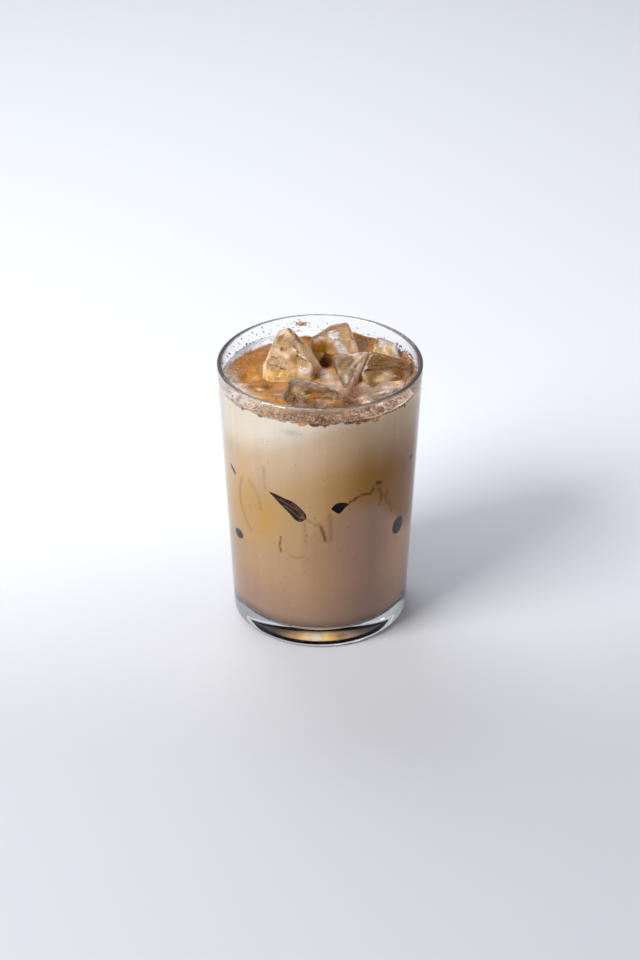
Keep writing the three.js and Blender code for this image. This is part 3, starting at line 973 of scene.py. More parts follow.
def clear_ice_material():
    shader = Shader("ice")
    specks = shader.math("MULTIPLY", shader.value("dust"), shader.spots(DUST_SPECKS))
    # The ice is less clear where dust lies, and along the ridges, where that is a painted highlight
    hidden = shader.math("MAXIMUM", shader.value("edge"), specks)
    waves = shader.noise(*ICE_WAVES["noise"])
    shader.principled(
        {
            "Base Color": shader.mix(specks, CLEAR_ICE["colour"], opaque(*DUST_COLOUR)),
            "Roughness": CLEAR_ICE["roughness"],
            "IOR": ICE_BEND,
            "Specular Tint": CLEAR_ICE["mirrored"],
            "Transmission Weight": shader.math("SUBTRACT", 1.0, hidden),
            "Normal": shader.bump(waves, ICE_WAVES["height"], ICE_WAVES["strength"]),
        }
    )
    return shader.material


def cloudy_ice_material():
    shader = Shader("cloudy_ice")
    colour, _ = shader.painted("paint")
    colour = shader.shade(colour, CLOUDS["shades"], shader.noise(*CLOUDS["noise"]))
    off_crack = shader.math("ABSOLUTE", shader.math("SUBTRACT", shader.noise(*CRACKS["noise"]), 0.5))
    cracked = shader.step(off_crack, (0.0, CRACKS["half_width"]), (CRACKS["most"], 0.0))
    colour = shader.mix(cracked, colour, opaque(*CRACK_COLOUR))
    shader.principled({"Base Color": colour, "Roughness": CLOUDY_ROUGHNESS, "Specular IOR Level": 0.0})
    return shader.material


def add_ice():
    clear, cloudy = clear_ice_material(), cloudy_ice_material()
    pieces = {}
    for node_name in ICE_NODES:
        core = cloudy_core(node_name)
        set_colours(core, "paint", ice_colours(node_name, points_of(core), normals_of(core)))
        finished(core, [cloudy], "ice")
        ice = melted_ice(node_name)
        patches = ICE_DUST["share"] + noise_at(points_of(ice), *ICE_DUST["noise"]) * ICE_DUST["uneven"]
        facing_up = smooth(*ICE_DUST["facing_up"], normals_of(ice)[:, 2])
        set_values(ice, "dust", np.clip(patches, 0, 1) * facing_up)
        # Painted highlight along the ridges
        set_values(ice, "edge", ICE_RIDGES["brightness"] * np.maximum(0, ridges(ice)))
        pieces[node_name] = finished(ice, [clear], "ice", node_name)
    return pieces


# The ice that is sunk and shows at the wall, as a solid painted dark: painted shade

WINDOW_RINGS = 12
WINDOW_HALF = 4  # about half a window's width, in degrees and in millimetres
CUTTER_GROWTH = 0.05
CUTTER_PROUD = 0.5


def almond(angle, height, half_width, half_height, tilt=0, points=10):
    """An outline round a middle, its half width in degrees."""
    steps = np.arange(points) * 2 * math.pi / points
    across = np.cos(steps) * half_width
    up = np.sin(steps) * half_height + tilt * across
    return list(zip(angle + across, height + up))


# Each window is an outline of (angle, height), the depth of the ice behind it and its tone, from 0,
# brown, to 1, blue-grey
LONG_WINDOW = [
    (-31.7, 76.4), (-27.6, 76.3), (-21.5, 75.1), (-16.5, 74.1), (-11.6, 71.3), (-8.4, 68.2),
    (-8.8, 66.1), (-11.8, 64.6), (-15, 65.2), (-18.4, 67.9), (-23.4, 71.1), (-28.6, 74.5),
]
SHORT_WINDOW = [
    (6.9, 71.6), (9.7, 73.8), (13.3, 74.1), (17.5, 73), (15.5, 71.6), (12.6, 69.2), (11, 68.8), (7.7, 70.6),
]
WINDOWS = [
    {"outline": LONG_WINDOW, "depth": 5, "tone": 0.1},
    {"outline": SHORT_WINDOW, "depth": 4, "tone": 0.9},
    {"outline": almond(57, 52.5, 5.7, 4.2), "depth": 4, "tone": 1},
    {"outline": almond(-63.8, 77.9, 3.6, 1.1, -0.35), "depth": 2, "tone": 0.3},
    {"outline": almond(-61.8, 46.4, 5, 2.3, 0.1), "depth": 3, "tone": 0.9},
    {"outline": almond(68.7, 82, 2.6, 1.1), "depth": 1.5, "tone": 0.6},
    {"outline": almond(152, 70, 6, 3.2, 0.2), "depth": 4, "tone": 0.4},
    {"outline": almond(-138, 58, 4, 5, -0.3), "depth": 4, "tone": 0.2},
    {"outline": almond(112, 88, 5, 2, 0.3), "depth": 3, "tone": 0.7},
]
# The ice's colours at each end of the tones, dark as painted shade, and the painted glints and pale
# highlights in it. A highlight is its points of (angle, height) and half its width.
SUNK_SHADE_COLOURS = ((50, 30, 20), (2, 0, 2))
GLINT_COLOURS = ((140, 104, 72), (44, 40, 54))
GLINTS = {"noise": (0.35, 3.0, (1, 1, 1.6)), "ends": (0.55, 0.75), "most": 0.5}
WINDOW_HIGHLIGHT_COLOUR = (128, 104, 88)
WINDOW_HIGHLIGHTS = [
    ([(-26, 74.4), (-20, 72.6), (-14, 70.4), (-9.9, 67.4)], 0.22),
    ([(-17, 73.2), (-12.4, 70.8), (-9.4, 68)], 0.18),
    ([(-21, 71.4), (-15.5, 68.4), (-12, 66.2)], 0.22),
    ([(-11.6, 67), (-9.8, 66.6)], 0.6),
]
SUNK_ROUGHNESS = 0.2
SUNK_MIRROR = 0.35  # how bright the ice's reflections are


def closed_curve(corners, steps=6):
    """A smooth closed line through the corners, with so many steps from each to the next."""
    corners = np.asarray(corners, float)
    line = []
    for before, start, stop, after in zip(*(np.roll(corners, shift, 0) for shift in (1, 0, -1, -2))):
        bend = 2 * before - 5 * start + 4 * stop - after
        turn = -before + 3 * start - 3 * stop + after
        for t in np.arange(steps) / steps:
            line.append(0.5 * (2 * start + (stop - before) * t + bend * t * t + turn * t**3))
    return np.array(line)


def window_block(window, grow, proud):
    """Points and faces of the block behind one window, grown, with its face proud of the drink's."""
    line = closed_curve(window["outline"])
    middle = line.mean(0)

    def placed(share, sunk):
        """The outline at a share of its size, sunk by a share of the block's depth."""
        flat = middle + (line - middle) * share if share else middle[None]
        angle, height = (middle + (flat - middle) * (1 + grow / WINDOW_HALF)).T
        radius = inner_radius(height) + WALL_REACH + (-(window["depth"] + grow) * sunk if sunk else proud)
        azimuth = np.radians(angle - 90)
        return np.column_stack([radius * np.cos(azimuth), radius * np.sin(azimuth), height])

    face = [(share, 0.0) for share in np.linspace(0, 1, WINDOW_RINGS + 1)]
    back = [(math.cos(turn), math.sin(turn)) for turn in np.linspace(0, math.pi / 2, WINDOW_RINGS + 1)[1:-1]]
    places = [placed(*shares) for shares in [*face, *back, (0.0, 1.0)]]
    return np.vstack(places), ring_faces(len(line), len(places) - 2)


def window_object(name, grow=0.0, proud=0.0):
    """All the blocks behind the windows in one object, and the tone of each point."""
    blocks = [window_block(window, grow, proud) for window in WINDOWS]
    made = joined(name, blocks)
    facing_out(made)
    return made, np.repeat([window["tone"] for window in WINDOWS], [len(points) for points, _ in blocks])


def facing_out(made):
    """Turns an object's faces so that all of them point out."""
    mesh = bmesh.new()
    mesh.from_mesh(made.data)
    bmesh.ops.recalc_face_normals(mesh, faces=mesh.faces)
    mesh.to_mesh(made.data)
    mesh.free()


def line_strength(angle, height, line, half_width):
    """How near each place is to a line on the wall, from 0 to 1."""
    degree = math.radians(1) * inner_radius(GLASS_HEIGHT / 2)
    places = np.column_stack([angle * degree, height])
    corners = np.array(line, float) * (degree, 1)
    nearest = np.full(len(places), np.inf)
    for start, stop in zip(corners[:-1], corners[1:]):
        step = stop - start
        along = np.clip((places - start) @ step / (step @ step), 0, 1)
        nearest = np.minimum(nearest, np.linalg.norm(places - start - along[:, None] * step, axis=1))
    return np.exp(-((nearest / half_width) ** 2))


def sunk_ice_material():
    shader = Shader("sunk_ice")
    tone = shader.value("tone")
    # The ice's dark colours are painted shade
    dark = shader.mix(tone, *(opaque(*colour) for colour in SUNK_SHADE_COLOURS))
    pale = shader.mix(tone, *(opaque(*colour) for colour in GLINT_COLOURS))
    colour = shader.mix(shader.spots(GLINTS), dark, pale)
    # Painted highlights
    colour = shader.mix(shader.value("window_highlight"), colour, opaque(*WINDOW_HIGHLIGHT_COLOUR))
    shader.principled({"Base Color": colour, "Roughness": SUNK_ROUGHNESS, "Specular IOR Level": 0.0})
    shader.mirror_against_glass(ICE_BEND / GLASS_BEND, SUNK_MIRROR)
    return shader.material


def add_sunk_ice():
    ice, tones = window_object("sunk_ice")
    set_values(ice, "tone", tones)
    x, y, z = points_of(ice).T
    highlights = [line_strength(angle_of(x, y), z, *window_highlight) for window_highlight in WINDOW_HIGHLIGHTS]
    set_values(ice, "window_highlight", np.max(highlights, axis=0))
    smooth_shading(ice, "drink")
    finished(ice, [sunk_ice_material()], "ice")


# The drink

TOP_LIGHT = 1.15  # how bright a white thing looks where it lies flat on the drink
SPOT_COVER = 0.9
TOP_DEPTH = 1.2  # how far under the surface its colours and its cinnamon still reach

# What lies on the drink, with spots of painted light and shade marked: a colour, its place, and half its
# width and depth
TOP_SPOTS = [
    ("blush", (9, -12), (11, 11)),
    ("mauve", (30, -10), (14, 13)),
    ("taupe", (-20, 31), (10, 4)),
    ("brown", (-22, 25), (3.3, 5.7)),
    ("amber", (-32, 20), (3.8, 4)),
    ("gold", (-38, 12), (2.1, 5)),
    ("shell", (-40, 18), (1.7, 3.2)),
    ("rust", (-39, 2), (0.9, 1.6)),
    ("tan", (-35, 2), (2.1, 3.2)),
    ("sand", (-36, -2), (1.7, 2)),
    ("copper", (-32, -8), (3, 3.2)),
    ("olive", (-26, 6), (1.1, 3.6)),
    ("copper", (-28, -2), (2.1, 4)),
    ("umber", (-22, -9), (2.1, 2.4)),
    ("sand", (-25, -11), (1.7, 1.2)),
    ("olive", (-29, -8), (1.2, 3.2)),
    ("copper", (-22, -17), (5, 2.8)),
    ("brown", (-16, -13), (4, 6)),
    ("mauve", (13, 25), (3.3, 2.4)),
    ("taupe", (19, 29), (3, 4)),
    ("rust", (25, 33), (1.2, 4)),
    ("rust", (37, 20), (3, 7.3)),
    ("umber", (38, 13), (1.7, 4)),
    ("rust", (37, 5), (3, 3.2)),
    # Painted light, lifting the shade by the pit
    ("honey", (1, 19), (1.8, 2.4)),
    # Painted light, lifting the shadow beside the peak
    ("gold", (-1, 6), (1.8, 4)),
    ("shell", (4, -2), (2.5, 4)),
    ("sand", (2, 3), (3, 4)),
    ("tan", (2, -3), (3, 2)),
    # Painted shade beside the tooth
    ("brown", (7.5, -2), (3, 5)),
    ("mauve", (3, -8), (4, 0.8)),
    ("mauve", (6, -13), (4, 0.8)),
    ("pearl", (9, -17), (1.7, 2)),
    ("cream", (33, -6), (3.4, 3)),
    ("blush", (29, -10), (3, 2.4)),
    ("taupe", (26, -13), (4, 0.7)),
    ("pearl", (20, -21), (2.5, 3.2)),
    ("pearl", (32, -15), (2.4, 2)),
    ("taupe", (24, -21), (4, 0.7)),
    ("sand", (34, -11), (3, 2)),
    ("taupe", (18, -13), (4, 4)),
    ("brown", (11, -13), (3.3, 7)),
    ("rust", (13.5, -17), (2.6, 5)),
    # Painted shade under the tooth
    ("umber", (13, -18), (3.8, 1.6)),
]
# The same for what lies both under and over the colours of the edge, with painted shade and light marked
EDGE_SPOTS = [
    ("umber", (20, -28), (4, 3)),
    ("rust", (15, -35), (2.5, 3)),
    ("pearl", (32, -23), (1.4, 3.5)),
    ("rust", (28.5, -25), (2, 5)),
    ("rust", (35.5, -21), (1.8, 5)),
    ("umber", (38.5, -13), (1.3, 4)),
    ("pearl", (24.5, -28), (1.8, 3)),
    ("rust", (-33, -19), (0.8, 2.4)),
    ("brown", (-2, -31), (18, 4)),
    ("rust", (-3.5, 34), (4, 1.6)),
    # Painted shade in the pit
    ("soot", (2.8, 12.5), (2.6, 4.6)),
    # Painted light, lifting the shadow beside the peak
    ("white", (-1, 5), (1.6, 3)),
]
BARE_COLOURS = ("pearl", "blush")  # the spots of these have little cinnamon on them
BARENESS = 0.75

# The colours that lie on the drink round its edge, by the angle, and how bright a white thing looks there
EDGE_COLOURS = [
    (-180, "cinnamon"), (-110, "cinnamon"), (-70, "pearl"), (-52, "sand"), (-40, "beige"), (-28, "beige"),
    (-16, "mauve"), (-9, "brown"), (0, "umber"), (12, "taupe"), (20, "mauve"), (34, "blush"),
    (42, "mauve"), (50, "mauve"), (60, "blush"), (85, "rust"), (110, "cinnamon"), (180, "cinnamon"),
]
EDGE_LIGHTS = [
    (-180, 1.15), (-90, 0.75), (-28, 0.68), (-9, 0.85), (15, 1.05), (30, 0.76), (70, 0.72), (90, 1.15),
    (180, 1.15),
]
EDGE_WIDTHS = (12, 6)  # at the front and at the back
EDGE_TURN = (-20, 10)  # between which depths the front becomes the back
EDGE_FADE = (1, 0.3)  # as shares of the width
# How wide the bare foam is that lies against the wall at the back, by the angle
PALE_WIDTHS = [
    (-180, 4), (-165, 4.5), (-138, 3.5), (-128, 2.8), (-118, 2), (-100, 1), (-85, 0), (-78, -2),
    (165, -2), (172, 1), (180, 4),
]
PALE_BLUR = 0.6
# Smears at the left front: their colours and noises, and where in the noise and in x and y they fade in
SMEARS = [("sand", ((0.12, 0.35, 1), 44)), ("olive", ((0.12, 0.35, 1), 45))]
SMEAR_FADES = {"noise": (0.05, 0.5), "x": (-12, -20), "y": (6, -4)}
SMEAR_COVER = 0.4
TOP_FLOW = [((0.1, 0.3, 1), 43, 0.35)]
TOP_MOTTLES = [(0.5, 41, 1), (1.3, 42, 0.8)]
MOTTLED = (0.2, 0.7)  # how strongly, on smooth milk and on crumbled cinnamon
# Where the cinnamon lies crumbled: by the distance from the wall, by y and by the angle
CRUMBLED = {"from_wall": (10, 3), "y": (60, -10), "angle": (-50, 0)}
CRUMBLED_AT_LEFT = 0.6
GROUND = (0.35, 1)  # how much cinnamon lies where it isn't crumbled, and where it is

# The cinnamon at the wall, by the angle: its colours, how far down it reaches, and how bright a white
# thing looks there
BAND_COLOURS = [
    (-180, "sand"), (-110, "sand"), (-72, "sand"), (-45, "blush"), (-20, "mauve"), (-8, "brown"),
    (0, "brown"), (14, "taupe"), (28, "brown"), (38, "mauve"), (50, "mauve"), (72, "taupe"),
    (110, "cinnamon"), (180, "cinnamon"),
]
BAND_DEPTHS = [
    (-180, 1.5), (-69, 1.4), (-57, 1.2), (-49, 1.6), (-45, 1), (-37, 1), (-30, 0.6), (-18, 0.4), (-12, 1),
    (0, 1.1), (11, 0.7), (20, 1.2), (28, 1.4), (38, 0.6), (50, 1), (60, 1), (70, 0.6), (180, 1.5),
]
BAND_LIGHTS = [
    (-180, 0.8), (-60, 0.95), (-30, 0.9), (0, 0.8), (25, 0.75), (60, 0.7), (90, 0.6), (180, 0.8),
]
BAND_NOISE = [(0.5, 15, 0.8)]
BAND_BLUR = 1
# The clumps that show in it: a colour, its angle and height, and half its width in degrees and height
BAND_SPOTS = [
    ("umber", (-58.5, 112.8), (1.2, 0.6)),
    ("umber", (-49, 112.2), (1, 1)),
    ("umber", (-35.5, 112.4), (1.6, 0.6)),
    ("copper", (-10, 112.4), (3, 1.2)),
    ("umber", (-3, 112.4), (3.5, 0.9)),
    ("soot", (2.7, 111.8), (1, 0.9)),
    ("umber", (16.5, 112.5), (3.5, 0.9)),
    ("rust", (22, 111.8), (2, 1.2)),
    ("umber", (26.5, 112.4), (2, 1.1)),
    ("copper", (32.5, 111.6), (2.8, 2.1)),
    ("umber", (40, 113), (2, 0.8)),
    ("rust", (53, 112.3), (3.2, 1)),
    ("rust", (56, 111.3), (1.2, 1)),
    ("rust", (62, 113), (3.5, 0.9)),
]

# The surface's relief: foam, clumps of cinnamon, the rise against the ice, and the calm beside the wall
FOAM = {"noise": (0.17, 1), "height": 0.35}
CLUMPS = {"noise": (0.75, 2), "height": 0.3}
RISE_AT_ICE = {"height": 0.6, "width": 0.9}
CALM_WIDTH = 2
EDGE_ROUNDS = 4  # how often the edge is worked out again from its own height
PIT_NOISE = {"noise": (1.5, 51), "share": 0.25}
PIT_SHADE_WIDTH = 0.5  # how wide the painted shade of the pit lies round it

# The layers' own colours, by the angle
MILK_COLOURS = [
    (-180, (246, 234, 216)), (-85, (200, 194, 184)), (-60, (236, 223, 204)), (-20, (248, 240, 228)),
    (10, (250, 236, 220)), (60, (252, 226, 190)), (180, (246, 234, 216)),
]
COFFEE_COLOURS = [
    (-180, (198, 164, 118)), (-60, (198, 164, 118)), (-8, (212, 177, 130)), (28, (178, 128, 52)),
    (60, (168, 108, 24)), (90, (188, 144, 88)), (120, (196, 156, 106)), (180, (198, 164, 118)),
]
LOWER_COLOURS = [
    (-180, (190, 156, 124)), (-60, (190, 156, 124)), (-15, (208, 172, 134)), (0, (196, 158, 120)),
    (35, (184, 148, 130)), (60, (224, 178, 140)), (180, (190, 156, 124)),
]
# How unevenly the layers run into each other, and between which places over a layer's floor
SWIRL = [((0.06, 0.06, 0.03), 11, 4), ((0.2, 0.2, 0.1), 13, 1.5)]
MILK_SWIRL = [((0.08, 0.08, 0.04), 12, 2.5)]
LOWER_FADE = (5, -6)
MILK_FADES = {"quick": (-2, 11), "slow": (-28, 2)}
SLOW_SHARE = {"at_left": 0.4, "at_right": 0.65, "angle": (10, 40)}
BOTTOM = {"colour": (170, 138, 130), "cover": 0.6, "heights": (38, 12)}
# Golden places at the wall: the angle and height of each, and half its width and height
GOLDEN = [((-52, 74), (12, 22)), ((-34, 60), (9, 13)), ((-48, 92), (16, 8))]
GOLD = {"colour": (212, 166, 88), "cover": 0.85, "noise": ((0.12, 0.12, 0.05), 14), "ends": (-0.5, 0.3)}

# What is painted at the wall, painted shade in the inner corner, painted light and shade under the drink, and
# what is painted in the ice's pockets
STREAK_COLOUR = (84, 42, 8)
STREAK_BREAKS = {"noise": (0.6, 34), "ends": (-0.7, -0.1)}
# The brown lines in the coffee: points of (angle, height), then half width and strength
STREAKS = [
    ([(18.2, 73.8), (25.8, 76.5), (31.3, 75.5), (33.9, 77.9), (37.5, 79.6)], 0.55, 1.0),
    ([(33.9, 77.9), (36, 80), (38.5, 79.4)], 0.9, 0.9),
    ([(37, 77), (39.5, 74.5), (39.5, 71), (38, 69)], 0.7, 0.65),
    ([(44.5, 74), (43, 71.5), (44, 68.5), (47.5, 66), (49, 62.5)], 0.6, 0.5),
    ([(-47, 78), (-43, 75.5), (-40, 71.5), (-38.5, 66)], 0.9, 0.22),
    ([(-54, 77), (-57, 71), (-57, 64), (-53, 57), (-48, 53)], 0.9, 0.25),
    ([(-19, 46.5), (-15, 46), (-11, 46.8), (-7, 46)], 0.6, 0.25),
    ([(-34.9, 87.9), (-34.9, 77.1)], 0.8, 0.2),
    ([(-9.9, 67.4), (-5.3, 64.7), (0.6, 62.8)], 0.5, 0.5),
    ([(-9.4, 64.5), (-8.9, 53.9)], 0.7, 0.25),
    ([(0.6, 62.5), (2.4, 58.4), (3.4, 55.3)], 0.6, 0.9),
    ([(6, 68.4), (6.8, 55.7)], 1.1, 0.3),
    ([(-24.8, 55.1), (-26, 50.8), (-25.1, 47.4)], 0.45, 0.9),
]
BLOTCH = {"place": (-16.5, 107.7), "half_sizes": (5, 1.5), "colour": (160, 165, 172), "cover": 0.4}
# Painted shade: the drink made darker in the inner corner of the glass
CORNER_SHADE = {"colour": (120, 98, 92), "cover": 0.5, "heights": (FLOOR_HEIGHT + FLOOR_FILLET, FLOOR_HEIGHT + 3)}
# The colour the underside is painted, under the painted light and shade
UNDER = {"colour": (196, 172, 178), "heights": (FLOOR_HEIGHT + 2, FLOOR_HEIGHT + 0.3)}
# Painted light and shade on the drink's underside, seen through the foot: a colour, its place, half its width
# and depth
UNDERSIDE_LIGHT_SPOTS = [
    # A dark patch at the left, a pale one at the right, then a golden pool of light with its streaks and a
    # white highlight
    ((100, 84, 80), (-21, -18), (9, 16)),
    ((216, 194, 206), (21, -16), (9, 16)),
    ((244, 200, 122), (-1, -15), (13, 9)),
    ((200, 160, 104), (-9, -12), (2, 6)),
    ((255, 240, 190), (-4.5, -12), (1, 6)),
    ((255, 255, 255), (-1.4, -13), (2, 4)),
    ((255, 232, 160), (2, -12), (1, 6)),
    ((150, 120, 90), (7, -12), (2, 4)),
]
POCKET = {"colour": "brown", "cover": 0.7, "depths": (4, 0.5)}

# The drink's material: how it is shaded, and the spots in it
DRIFT = {"noise": (0.05, 3.0, (1, 1, 0.35)), "shades": (0.9, 1.1)}
THREADS = {"noise": (0.3, 4.0, (1, 1, 0.06)), "shades": (0.93, 1.07)}
GRAIN = {"noise": (1.1, 4.0, (1, 1, 1), 0.6), "shades": (0.5, 1.5), "height": 0.12, "strength": 0.5}
CRUST = {"uneven": 1.6, "ends": (0.42, 0.58), "thinnest": (0.02, 0.12)}
CRUMBLY_GROUND = (0.35, 0.9)
CRUMBS = {"noise": (0.8, 4.0, (1, 1, 1), 0.6), "ends": (0.53, 0.6), "most": 0.75}
FLECKS = {"noise": (1.0, 3.0, (1, 1, 1.4)), "ends": (0.54, 0.62), "most": 0.6}
SPECKS = {"noise": (1.1, 1.0), "ends": (0.73, 0.77), "most": 0.7}
CRUMB_COLOUR = (104, 70, 46)
FLECK_COLOUR = (222, 196, 178)
SPECK_COLOUR = (110, 72, 44)
ROUGHNESS = (0.25, 0.5)  # of the milk and of the cinnamon
GLOSS_IN_AIR = 0.15


def with_spots(colours, x, y, spots):
    for name, place, half_sizes in spots:
        colours = laid_over(colours, SPOT_COVER * flat_spot(x, y, place, half_sizes), paint(name, TOP_LIGHT))
    return colours


def crumbled(from_wall, y, angle, at_left):
    """How crumbled the cinnamon is, from 0 to 1, and at the left at most its share there."""
    by_angle = between((at_left, 1), smooth(*CRUMBLED["angle"], angle))
    return smooth(*CRUMBLED["from_wall"], from_wall) * smooth(*CRUMBLED["y"], y) * by_angle


def top_colours(points, angle):
    x, y, _ = ragged(points, RAGGED["top"]).T
    from_wall = EDGE_RADIUS - np.hypot(x, y)
    colours = np.tile(paint("cinnamon", TOP_LIGHT), (len(points), 1))
    colours = with_spots(colours, x, y, [*TOP_SPOTS, *EDGE_SPOTS])
    edge = round_glass(angle, [(turn, paint(name)) for turn, name in EDGE_COLOURS])
    edge /= round_glass(angle, EDGE_LIGHTS)[:, None]
    width = between(EDGE_WIDTHS, smooth(*EDGE_TURN, y))
    colours = laid_over(colours, SPOT_COVER * smooth(*EDGE_FADE, from_wall / width), edge)
    pale = smooth(-PALE_BLUR, PALE_BLUR, round_glass(angle, PALE_WIDTHS) - from_wall)
    colours = laid_over(colours, pale, paint("white"))
    colours = with_spots(colours, x, y, EDGE_SPOTS)
    at_left_front = smooth(*SMEAR_FADES["x"], x) * smooth(*SMEAR_FADES["y"], y)
    for name, field in SMEARS:
        smear = smooth(*SMEAR_FADES["noise"], noise_at(points, *field)) * at_left_front
        colours = laid_over(colours, SMEAR_COVER * smear, paint(name, TOP_LIGHT))
    mottled = between(MOTTLED, crumbled(from_wall, points[:, 1], angle, 0))
    shade = 1 + mixed_noise(points, TOP_FLOW) + mottled * mixed_noise(points, TOP_MOTTLES)
    return colours * shade[:, None]


def crust_at(x, y):
    """How much cinnamon lies on the drink, from 0 to 1."""
    spots = [*TOP_SPOTS, *EDGE_SPOTS]
    bare = [flat_spot(x, y, place, sizes) for name, place, sizes in spots if name in BARE_COLOURS]
    return 1 - BARENESS * np.max(bare, axis=0)


def relief(x, y, near_ice):
    """The drink's surface with the foam, the clumps of cinnamon and the rise against the ice."""
    places = np.column_stack([x, y, np.zeros_like(x)])
    foam = noise_at(places, *FOAM["noise"]) * FOAM["height"]
    clumps = np.maximum(0, noise_at(places, *CLUMPS["noise"])) * CLUMPS["height"] * crust_at(x, y)
    rise = RISE_AT_ICE["height"] * np.exp(-near_ice / RISE_AT_ICE["width"])
    inside = smooth(EDGE_RADIUS, EDGE_RADIUS - CALM_WIDTH, np.hypot(x, y))
    return surface_height(x, y) + inside * (foam + clumps + rise)


def edge_radius(height_at):
    """How far out a surface meets the drink's wall, at each azimuth."""
    radius = np.full(SEGMENTS, EDGE_RADIUS)
    for _ in range(EDGE_ROUNDS):
        radius = inner_radius(height_at(radius * np.cos(AZIMUTHS), radius * np.sin(AZIMUTHS))) + WALL_REACH
    return radius


def surface_rings(height_at, rings):
    """Rings over a surface, from near the axis out to the wall."""
    edge = edge_radius(height_at)
    made = []
    for share in np.arange(1, rings + 1) / rings:
        x, y = edge * share * np.cos(AZIMUTHS), edge * share * np.sin(AZIMUTHS)
        made.append(np.column_stack([x, y, height_at(x, y)]))
    return made


def wall_rings(lower_edge, upper_edge):
    """Rings up the wall between two edges, without the edges."""
    tallest = (upper_edge[:, 2] - lower_edge[:, 2]).max()
    steps = max(2, math.ceil(tallest / WALL_STEP))
    made = []
    for share in np.arange(1, steps) / steps:
        height = between((lower_edge[:, 2], upper_edge[:, 2]), share)
        made.append(ring(inner_radius(height) + WALL_REACH, height))
    return made


def middle_height(height_at):
    axis = np.zeros(1)
    return float(height_at(axis, axis)[0])


def moved(height_at, rise):
    """A surface that is moved up."""
    return lambda x, y: height_at(x, y) + rise


def underside(height_at):
    """The rings and the middle height of a layer's underside, just over the layer below."""
    start = moved(height_at, JOINT_GAP / 2)
    return surface_rings(start, JOINT_RINGS), middle_height(start)


def layer(name, lower_rings, lower_middle, upper_height, upper_rings):
    """A layer of the drink from its lower rings up to a surface given by its height."""
    upper = surface_rings(upper_height, upper_rings)[::-1]
    sides = wall_rings(lower_rings[-1], upper[0])
    return turned(name, lower_middle, [*lower_rings, *sides, *upper], middle_height(upper_height))


def cavity():
    """The rings and the middle height of the glass's floor and its corner, as the drink fills them."""
    floor = FLOOR_HEIGHT - WALL_REACH
    wall = inner_radius(floor) + WALL_REACH
    corner = corner_arc(wall, floor, INNER_LEAN, FLOOR_FILLET, CAVITY_STEPS["corner"])
    flat = points_between((0, floor), corner[0], CAVITY_STEPS["floor"])
    return [ring(*place) for place in [*flat, *corner]], floor


def cut(made, *cutters):
    for cutter in cutters:
        boolean = made.modifiers.new("cut", "BOOLEAN")
        boolean.operation = "DIFFERENCE"
        boolean.solver = "MANIFOLD"
        boolean.object = cutter
    with_modifiers(made)


def pocket_cutter(ice_pieces):
    """All the ice above the surface in one object, a little smaller than the ice."""
    blocks = [(points_of(ice) - normals_of(ice) * POCKET_INSET, faces_of(ice)) for ice in ice_pieces.values()]
    return joined("pocket_cutter", blocks)


def pit_cutter():
    steps = np.linspace(-math.pi / 2, math.pi / 2, PIT_RINGS + 2)[1:-1]
    pit = turned("pit_cutter", -1, [ring(math.cos(a), math.sin(a)) for a in steps], 1)
    places = points_of(pit)
    uneven = 1 + PIT_NOISE["share"] * noise_at(places, *PIT_NOISE["noise"])
    sizes = (PIT["across"], PIT["along"], PIT["depth"])
    set_points(pit, places * uneven[:, None] * sizes + (PIT["x"], PIT["y"], DRINK_LEVEL))
    return pit


def layer_colours(points, angle):
    """The three layers as they run into each other."""
    x, y, z = points.T
    milk, coffee, lower = (
        round_glass(angle, [(turn, linear(*colour)) for turn, colour in stops])
        for stops in (MILK_COLOURS, COFFEE_COLOURS, LOWER_COLOURS)
    )
    swirl = mixed_noise(points, SWIRL)
    rise = z - milk_floor(x, y) + mixed_noise(points, MILK_SWIRL)
    colours = laid_over(coffee, smooth(*LOWER_FADE, z - coffee_floor(x, y) + swirl), lower)
    far = [
        ((angle - turn) / half_turn) ** 2 + ((z - height) / half_height) ** 2
        for (turn, height), (half_turn, half_height) in GOLDEN
    ]
    golden = np.exp(-np.min(far, axis=0)) * smooth(*GOLD["ends"], noise_at(points, *GOLD["noise"]))
    colours = laid_over(colours, GOLD["cover"] * golden, linear(*GOLD["colour"]))
    bottom = BOTTOM["cover"] * smooth(*BOTTOM["heights"], z + swirl)
    colours = laid_over(colours, bottom, linear(*BOTTOM["colour"]))
    at_right = smooth(*SLOW_SHARE["angle"], angle)
    slow = between((SLOW_SHARE["at_left"], SLOW_SHARE["at_right"]), at_right)
    clear = (1 - smooth(*MILK_FADES["quick"], rise)) * (1 - slow * smooth(*MILK_FADES["slow"], rise))
    return laid_over(colours, 1 - clear, milk)


def wall_marks(colours, points, angle):
    """The colours with the brown lines and a bluish blotch laid over them."""
    heights = ragged(points, RAGGED["wall"])[:, 2]
    lines = [strength * line_strength(angle, heights, line, width) for line, width, strength in STREAKS]
    unbroken = smooth(*STREAK_BREAKS["ends"], noise_at(points, *STREAK_BREAKS["noise"]))
    colours = laid_over(colours, np.max(lines, axis=0) * unbroken, linear(*STREAK_COLOUR))
    from_blotch = (np.column_stack([angle, points[:, 2]]) - BLOTCH["place"]) / BLOTCH["half_sizes"]
    blotch = np.exp(-((from_blotch**2).sum(1)))
    return laid_over(colours, BLOTCH["cover"] * blotch, linear(*BLOTCH["colour"]))


def foot_light_and_shade(colours, points):
    """The colours with painted shade in the inner corner and painted light and shade under the drink laid
    over them.
    """
    x, y, z = points.T
    corner = CORNER_SHADE["cover"] * smooth(*CORNER_SHADE["heights"], z)
    colours = laid_over(colours, corner, linear(*CORNER_SHADE["colour"]))
    under = smooth(*UNDER["heights"], z)
    colours = laid_over(colours, under, linear(*UNDER["colour"]))
    for colour, place, half_sizes in UNDERSIDE_LIGHT_SPOTS:
        colours = laid_over(colours, under * flat_spot(x, y, place, half_sizes), linear(*colour))
    return colours


